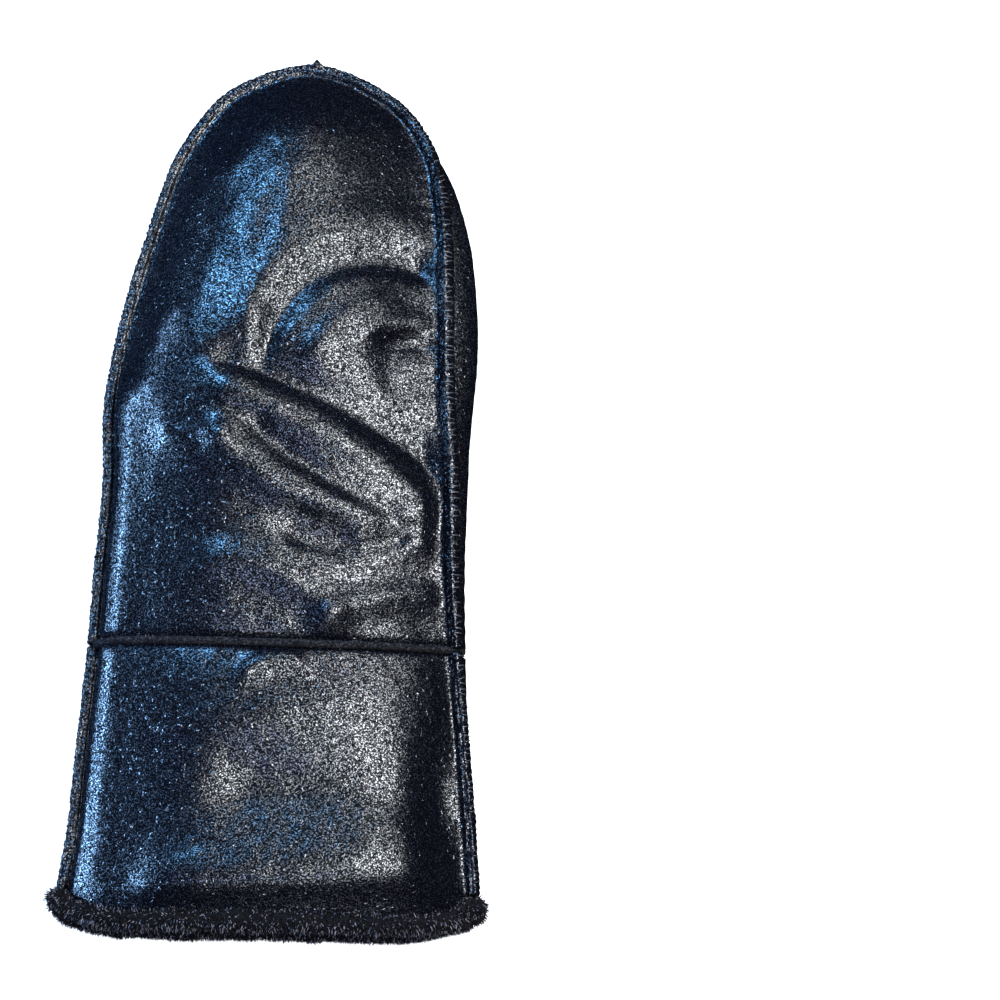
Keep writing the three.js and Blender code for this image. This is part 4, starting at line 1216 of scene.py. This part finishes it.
def fleece_rings(columns):
    """Rings from the closed end out to the lip and back along the hollow, finer at the lip.

    Their sizes run straight between the fleece's rows, and on the lip by a cubic curve."""
    ys = np.concatenate([[125.6, 123.6], np.linspace(121.6, -121.4, BAG_STEPS)])
    knots = FLEECE_ROWS[::-1]
    rows = [np.interp(ys, knots[:, 0], knots[:, k]) for k in range(1, 4)]
    lip_t = np.linspace(0, 1, LIP_STEPS)
    lip_knots = np.linspace(0, 1, len(LIP))
    beyond, grow, side, hem, reach = [through(lip_knots, LIP[:, k], lip_t) for k in range(5)]
    full, none = np.ones(LIP_STEPS), np.zeros(LIP_STEPS)
    bag = list(zip(ys, *rows))
    rings = [
        *[(*row, 0, 0, FLEECE_REACH) for row in bag],
        *zip(HEM_Y - beyond, full, hem, none, grow, side, np.maximum(reach, 0)),
        *[(*row, -PILE, -PILE, FLEECE_REACH) for row in bag[:1:-1]],
    ]
    return np.stack([fleece_ring(row, columns) for row in rings]), len(ys)


class MittenSizes(bpy.types.PropertyGroup):
    """Sizes of the mitten's fine detail."""

    stitch_pitch: bpy.props.FloatProperty(
        name="Stitch pitch", description="Distance between stitches on the raised edge",
        default=0.0019, unit="LENGTH",
    )
    thread_radius: bpy.props.FloatProperty(
        name="Thread radius", description="Half the thickness of the thread",
        default=0.00026, unit="LENGTH",
    )
    pile_length: bpy.props.FloatProperty(
        name="Pile length", description="Length of the fleece's fibres",
        default=0.0017, unit="LENGTH",
    )
    pile_width: bpy.props.FloatProperty(
        name="Fibre width", description="Width of a lock of the fleece's fibres",
        default=0.00034, unit="LENGTH",
    )


class MittenLook(bpy.types.PropertyGroup):
    """Colours and grain of the mitten's materials."""

    leather: bpy.props.FloatVectorProperty(
        name="Leather", description="Colour of the leather", subtype="COLOR", size=4,
        default=(0.0004, 0.00045, 0.0008, 1), min=0, max=1,
    )
    thread: bpy.props.FloatVectorProperty(
        name="Thread", description="Colour of the thread", subtype="COLOR", size=4,
        default=(0.012, 0.013, 0.017, 1), min=0, max=1,
    )
    fleece: bpy.props.FloatVectorProperty(
        name="Fleece", description="Colour of the fleece", subtype="COLOR", size=4,
        default=(0.05, 0.047, 0.056, 1), min=0, max=1,
    )
    roughness: bpy.props.FloatProperty(
        name="Roughness", description="Roughness of the leather", default=0.29, subtype="FACTOR",
    )
    grain: bpy.props.FloatProperty(
        name="Grain", description="Distance between ridges of the grain",
        default=0.0009, unit="LENGTH",
    )
    grain_depth: bpy.props.FloatProperty(
        name="Grain depth", description="Height of the pebbles", default=0.00004, unit="LENGTH",
    )


class MittenStudio(bpy.types.PropertyGroup):
    """Lights and camera."""

    key: bpy.props.FloatProperty(
        name="Window light", description="Power of the white light on the right",
        default=85, unit="POWER",
    )
    sky: bpy.props.FloatProperty(
        name="Blue light", description="Power of the bluish light at the upper left",
        default=50, unit="POWER",
    )
    floor_glow: bpy.props.FloatProperty(
        name="Floor glow", description="Light that the pale floor gives off", default=0.95,
    )
    lens: bpy.props.FloatProperty(
        name="Lens", description="Focal length", default=106.93, subtype="DISTANCE_CAMERA",
    )


class HandBack(bpy.types.Operator):
    """Leather over the back of the hand, with the folds and grain"""

    bl_idname = "mitten.hand_back"
    bl_label = "Back of the Hand"

    def execute(self, context):
        x, y = hand_plan(*GRIDS["hand_back"], 1)
        leather_panel("hand_back", back_face(x, y), "back_panel")
        return {"FINISHED"}


class HandPalm(bpy.types.Operator):
    """Leather under the hand, flat where it rests and raised over the folded thumb"""

    bl_idname = "mitten.hand_palm"
    bl_label = "Palm"

    def execute(self, context):
        x, y = hand_plan(*GRIDS["hand_palm"], -1)
        piece = leather_panel("hand_palm", palm_face(x, y), "palm_panel", under=True)
        open_thumb_hole(piece, THUMB_SEAM_RADIUS, PALM_HOLE_TOP)
        return {"FINISHED"}


class Cuff(bpy.types.Operator):
    """The two leather panels of the flared cuff"""

    bl_idname = "mitten.cuff"
    bl_label = "Cuff"

    def execute(self, context):
        x, y = cuff_plan(*GRIDS["cuff_upper"], 1)
        leather_panel("cuff_upper", back_face(x, y, hem=True), "cuff_back")
        x, y = cuff_plan(*GRIDS["cuff_under"], -1)
        leather_panel("cuff_under", palm_face(x, y), "cuff_palm", under=True)
        return {"FINISHED"}


class Thumb(bpy.types.Operator):
    """The thumb pouch, folded flat under the palm"""

    bl_idname = "mitten.thumb"
    bl_label = "Thumb"

    def execute(self, context):
        rows, sides = GRIDS["thumb_pouch"]
        t = np.linspace(0, len(THUMB_RINGS) - 1, rows)
        knots = np.arange(len(THUMB_RINGS))
        rings = [through(knots, values, t)[:, None] for values in THUMB_RINGS.T]
        top_y, top_z, low_y, low_z, middle, half = rings
        a = full_turn(sides)[None]
        # A ring is an oval whose cosine and sine are raised to a power, so that it is fuller
        bulge_z = np.sign(np.cos(a)) * np.abs(np.cos(a)) ** THUMB_SQUARENESS
        bulge_x = np.sign(np.sin(a)) * np.abs(np.sin(a)) ** THUMB_SQUARENESS
        share = (1 + bulge_z) / 2
        x = middle + half * bulge_x
        y = mix(low_y, top_y, share)
        z = mix(low_z, top_z, share)
        crease = THUMB_CREASE * unevenness(y, x * 0.25, 5, 21)
        crease = crease + THUMB_CRUMPLE * unevenness(x, y, 2.4, 22)
        free = ease(t / 3 - 0.3)[:, None]
        x = x + bulge_x * crease * free
        z = np.maximum(z + np.minimum(bulge_z * crease * free, 0), 0)
        points = np.concatenate([np.stack([x, y, z], -1).reshape(-1, 3), [THUMB_TIP]])
        ring = np.arange(sides)
        last = (rows - 1) * sides
        tip = np.stack([ring + last, np.roll(ring, -1) + last, np.full(sides, rows * sides)], -1)
        faces = [*grid_faces(rows, sides, around=True).tolist(), *tip.tolist()]
        thicken(make_piece("thumb_pouch", points, faces, "thumb", *LEATHER_FINISH), LEATHER)
        return {"FINISHED"}


class Seams(bpy.types.Operator):
    """The raised sewn edges, the rolled wrist seam and the rim of the thumb hole"""

    bl_idname = "mitten.seams"
    bl_label = "Seams"

    def execute(self, context):
        hand, cuff = [], []
        for x, right in ((-1, False), (1, True)):
            wrist, hem = wrist_y(x * WRIST_HALF_WIDTH), hem_y(x * HEM_HALF_WIDTH)
            hand.append(side_s(wrist - HAND_WELT_PAST, right))
            cuff.append((side_s(hem - HEM_WELT_PAST, right), side_s(wrist - CUFF_WELT_GAP, right)))
        make_welt("hand_welt", hand, "hand_seam")
        make_welt("cuff_welt_left", cuff[0], "cuff_seam_left")
        make_welt("cuff_welt_right", cuff[1][::-1], "cuff_seam_right")
        self.make_wrist()
        self.make_thumb_rim()
        return {"FINISHED"}

    def make_wrist(self):
        """A soft cut edge that stands up in the groove between hand and cuff, with short fuzz.

        Its section is an uneven ellipse, carried along the ring round the wrist."""
        s, path = resample_loop(wrist_path(), WRIST_SEAM_STEP)
        ahead = np.roll(path, -1, 0) - np.roll(path, 1, 0)
        out = unit(np.stack([ahead[:, 2], np.zeros(len(s)), -ahead[:, 0]], -1))
        centre = path - out * WRIST_SEAM_SINK
        across = np.array([[0.0, 1.0, 0.0]])
        a = full_turn(WRIST_SEAM_SIDES)[None]
        along = s[:, None]
        uneven = 0.1 * unevenness(along, a * 2, 2.4, 31) + 0.08 * unevenness(along, a * 3, 1, 32)
        wide = np.repeat(across * WRIST_SEAM_HALF_WIDTH, len(s), 0)
        points, faces = bead((centre, out * WRIST_SEAM_RADIUS, wide), (a, 1 + uneven), True)
        make_piece("wrist_roll", points, faces, "wrist_seam", "seam_edge", "matt_suede")
        rng = np.random.default_rng(33)
        i = rng.integers(0, len(s), FUZZ_COUNT)
        turn = rng.uniform(0, 2 * np.pi, FUZZ_COUNT)[:, None]
        lean = out[i] * np.cos(turn) + across * np.sin(turn)
        up = out[i] * WRIST_SEAM_RADIUS * np.cos(turn) * FUZZ_SEAT
        roots = centre[i] + up + across * np.sin(turn)
        blades, faces, shade = strands(roots, lean, *FUZZ_SIZE, 34, FUZZ_SPREAD, droop=0)
        fuzz = make_piece("wrist_fuzz", blades, faces, None, "seam_edge", "dense_fleece")
        set_shade(fuzz, shade * FUZZ_SHADE)

    def make_thumb_rim(self):
        """An oval bead round the thumb hole, with the marks of its stitches.

        Its section is a circle times 1 plus a cosine with one wave for each stitch."""
        s = full_turn(THUMB_SEAM_STATIONS)
        cos, sin = np.cos(s), np.sin(s)
        centre = np.stack([
            THUMB_HOLE["x"] + THUMB_HOLE["half_width"] * cos,
            THUMB_HOLE["y"] + THUMB_HOLE["half_length"] * sin,
            np.full(len(s), THUMB_ROOM + LEATHER / 2),
        ], -1)
        slope = [cos / THUMB_HOLE["half_width"], sin / THUMB_HOLE["half_length"], s * 0]
        out = unit(np.stack(slope, -1))
        up = np.tile([[0.0, 0.0, 1.0]], (len(s), 1))
        a = full_turn(THUMB_SEAM_SIDES)[None]
        uneven = 1 + THUMB_STITCH_DEPTH * np.cos(THUMB_STITCHES * s)[:, None] + 0 * a
        stations = (centre, out * THUMB_SEAM_RADIUS, up * THUMB_SEAM_RADIUS)
        points, faces = bead(stations, (a, uneven), True)
        make_piece("thumb_rim", points, faces, "thumb_seam", *EDGE_FINISH)


class Stitches(bpy.types.Operator):
    """Short threads that hold the raised edges together, in an outer and an inner row"""

    bl_idname = "mitten.stitches"
    bl_label = "Stitches"

    def execute(self, context):
        sizes = context.scene.mitten_sizes
        pitch = sizes.stitch_pitch / MM
        rng = np.random.default_rng(41)
        wrist = wrist_y(-WRIST_HALF_WIDTH), wrist_y(WRIST_HALF_WIDTH)
        hem = hem_y(-HEM_HALF_WIDTH) + STITCH_HEM_GAP, hem_y(HEM_HALF_WIDTH) + STITCH_HEM_GAP
        spans = [
            (side_s(hem[0], False), side_s(wrist[0] - STITCH_WRIST_GAP, False)),
            (side_s(wrist[0] + STITCH_WRIST_GAP, False), side_s(wrist[1] + STITCH_WRIST_GAP, True)),
            (side_s(wrist[1] - STITCH_WRIST_GAP, True), side_s(hem[1], True)),
        ]
        s = np.concatenate([np.arange(a, b, pitch) for a, b in spans])
        rows = []
        for low, high, share in STITCH_ROWS:
            kept = s[rng.random(len(s)) < share]
            kept = kept + rng.uniform(-STITCH_SHIFT, STITCH_SHIFT, len(kept)) * pitch
            reach = np.tile([float(low), float(high)], (len(kept), 1))
            shift = rng.uniform(-STITCH_REACH_SHIFT, STITCH_REACH_SHIFT, reach.shape)
            rows.append((kept, reach + shift))
        s = np.concatenate([row[0] for row in rows])
        reach = np.concatenate([row[1] for row in rows])
        lean = rng.normal(STITCH_LEAN, STITCH_LEAN, len(s))
        radius = sizes.thread_radius / MM * rng.uniform(*STITCH_RADII, len(s))
        points, faces = stitch_arcs(s, reach, lean, radius)
        make_piece("edge_stitches", points, faces, None, "seam_edge", "waxed_thread")
        return {"FINISHED"}


class FleeceLining(bpy.types.Operator):
    """The fleece bag with its pile, which shows at the mouth of the cuff"""

    bl_idname = "mitten.fleece"
    bl_label = "Fleece"

    def execute(self, context):
        sizes = context.scene.mitten_sizes
        # The normal is the cross product of the ways ahead and around, and tufts rise along it
        rings, first = fleece_rings(BAG_COLUMNS)
        ahead = np.gradient(rings, axis=0)
        around = np.roll(rings, -1, 1) - np.roll(rings, 1, 1)
        normal = unit(np.cross(ahead, around))
        x, y, z = np.moveaxis(rings, 2, 0)
        tuft = TUFT_HEIGHTS[0] * unevenness(x + z, y - z, TUFT_SIZES[0], 51)
        tuft = tuft + TUFT_HEIGHTS[1] * unevenness(x - z, y + z, TUFT_SIZES[1], 52)
        lip = np.zeros((len(rings), 1))
        lip[first + 2:first + LIP_STEPS] = 1
        points = rings + normal * (tuft * lip)[..., None]
        points[..., 2] = np.maximum(points[..., 2], FLEECE_FLOOR - TUFT_SINK)
        count, columns = points.shape[:2]
        flat, faces = close_ends(points, grid_faces(count, columns, around=True))
        piece = make_piece("fleece_bag", flat, faces, "fleece_lining", *FLEECE_FINISH)
        open_thumb_hole(piece, 0, FLEECE_HOLE_TOP)
        half = columns // 2
        rows = slice(first + 3, first + PILE_ROWS)
        points, normal = points[rows], normal[rows]
        self.make_pile("pile_upper", points[:, :half], normal[:, :half], sizes, 62)
        self.make_pile("pile_lower", points[:, half:], normal[:, half:], sizes, 63)
        return {"FINISHED"}

    def make_pile(self, name, patch, directions, sizes, seed):
        """Short fibres on one half of the lip and a little way into the hollow.

        Their roots are spread evenly, as each quad is drawn with the share of its area."""
        rng = np.random.default_rng(seed)
        step = np.linalg.norm(np.diff(patch, axis=0), axis=2)[:, :-1]
        wide = np.linalg.norm(np.diff(patch, axis=1), axis=2)[:-1]
        weight = step * wide / (step * wide).sum()
        chosen = rng.choice(weight.size, PILE_COUNT, p=weight.ravel())
        i, j = np.unravel_index(chosen, weight.shape)
        u, v = rng.uniform(0, 1, (2, PILE_COUNT, 1))
        near = mix(patch[i, j], patch[i + 1, j], u)
        far = mix(patch[i, j + 1], patch[i + 1, j + 1], u)
        out = mix(directions[i, j], directions[i + 1, j], u) + np.array([0, -PILE_LEAN, 0])
        length, width = sizes.pile_length / MM, sizes.pile_width / MM
        blades, faces, shade = strands(mix(near, far, v), out, length, width, seed)
        piece = make_piece(name, blades, faces, None, *FLEECE_FINISH)
        set_shade(piece, shade)


class Stage(bpy.types.Operator):
    """Pale floor, soft lights and the camera above the mitten"""

    bl_idname = "mitten.stage"
    bl_label = "Stage"

    def execute(self, context):
        studio = context.scene.mitten_studio
        self.make_floor(studio)
        self.make_lights(studio)
        self.make_camera(context, studio)
        return {"FINISHED"}

    def make_floor(self, studio):
        """A wide pale square, which the glossy leather doesn't mirror."""
        mesh = bpy.data.meshes.new("floor")
        half = FLOOR_HALF
        corners = [(-half, -half, 0), (half, -half, 0), (half, half, 0), (-half, half, 0)]
        mesh.from_pydata(corners, [], [(0, 1, 2, 3)])
        floor = add_object("floor", mesh)
        paint = Paint("pale_floor")
        paint.settle({
            "Base Color": (FLOOR_GREY, FLOOR_GREY, FLOOR_GREY, 1),
            "Roughness": 1,
            "Specular IOR Level": 0,
            "Emission Color": (1, 1, 1, 1),
            "Emission Strength": studio.floor_glow,
        })
        mesh.materials.append(paint.material)
        floor.visible_glossy = False

    def make_lights(self, studio):
        """A dim room, and the rectangular lights of the table."""
        world = bpy.data.worlds.new("dim_room")
        bpy.context.scene.world = world
        world.use_nodes = True
        background = world.node_tree.nodes["Background"]
        background.inputs["Color"].default_value = ROOM_COLOUR
        background.inputs["Strength"].default_value = ROOM_STRENGTH
        powers = {"key": studio.key, "sky": studio.sky}
        for name, direction, size, source, share, colour in LIGHTS:
            area_light(name, direction, size, powers[source] * share, colour)

    def make_camera(self, context, studio):
        """The camera, at a distance and an elevation from its target, which it looks at."""
        x, y, z = CAMERA_TARGET
        camera = bpy.data.cameras.new("camera")
        camera.sensor_width = CAMERA_SENSOR
        camera.lens = studio.lens
        holder = add_object("camera", camera)
        back = CAMERA_DISTANCE * math.cos(CAMERA_ELEVATION)
        up = CAMERA_DISTANCE * math.sin(CAMERA_ELEVATION)
        holder.location = (x, y - back, z + up)
        holder.rotation_euler = (math.pi / 2 - CAMERA_ELEVATION, 0, 0)
        context.scene.camera = holder
        context.scene.view_settings.view_transform = "Standard"


def area_light(name, direction, size, power, colour):
    """A soft rectangular light in a direction from the mitten, turned to it."""
    light = bpy.data.lights.new(name, "AREA")
    light.shape = "RECTANGLE"
    light.size, light.size_y = size
    light.energy = power
    light.color = colour
    holder = add_object(name, light)
    holder.location = Vector(direction).normalized() * LIGHT_DISTANCE
    holder.rotation_euler = holder.location.to_track_quat("Z", "Y").to_euler()


STEPS = (HandBack, HandPalm, Cuff, Thumb, Seams, Stitches, FleeceLining, Stage)


class MittenPanel(bpy.types.Panel):
    """Lists the mitten's pieces in the sidebar"""

    bl_idname = "VIEW3D_PT_mitten"
    bl_label = "Mitten"
    bl_space_type = "VIEW_3D"
    bl_region_type = "UI"
    bl_category = "Mitten"

    def draw(self, context):
        for step in STEPS:
            self.layout.operator(step.bl_idname)
        scene = context.scene
        for group in (scene.mitten_sizes, scene.mitten_look, scene.mitten_studio):
            for name in group.bl_rna.properties.keys():
                if name not in ("rna_type", "name"):
                    self.layout.prop(group, name)


CLASSES = (MittenSizes, MittenLook, MittenStudio, *STEPS, MittenPanel)


def register():
    for kind in CLASSES:
        bpy.utils.register_class(kind)
    bpy.types.Scene.mitten_sizes = bpy.props.PointerProperty(type=MittenSizes)
    bpy.types.Scene.mitten_look = bpy.props.PointerProperty(type=MittenLook)
    bpy.types.Scene.mitten_studio = bpy.props.PointerProperty(type=MittenStudio)


def unregister():
    del bpy.types.Scene.mitten_studio
    del bpy.types.Scene.mitten_look
    del bpy.types.Scene.mitten_sizes
    for kind in reversed(CLASSES):
        bpy.utils.unregister_class(kind)


def main():
    register()
    bpy.ops.mitten.stage()
    bpy.ops.mitten.hand_back()
    bpy.ops.mitten.hand_palm()
    bpy.ops.mitten.cuff()
    bpy.ops.mitten.thumb()
    bpy.ops.mitten.seams()
    bpy.ops.mitten.stitches()
    bpy.ops.mitten.fleece()


if __name__ == "__main__":
    main()
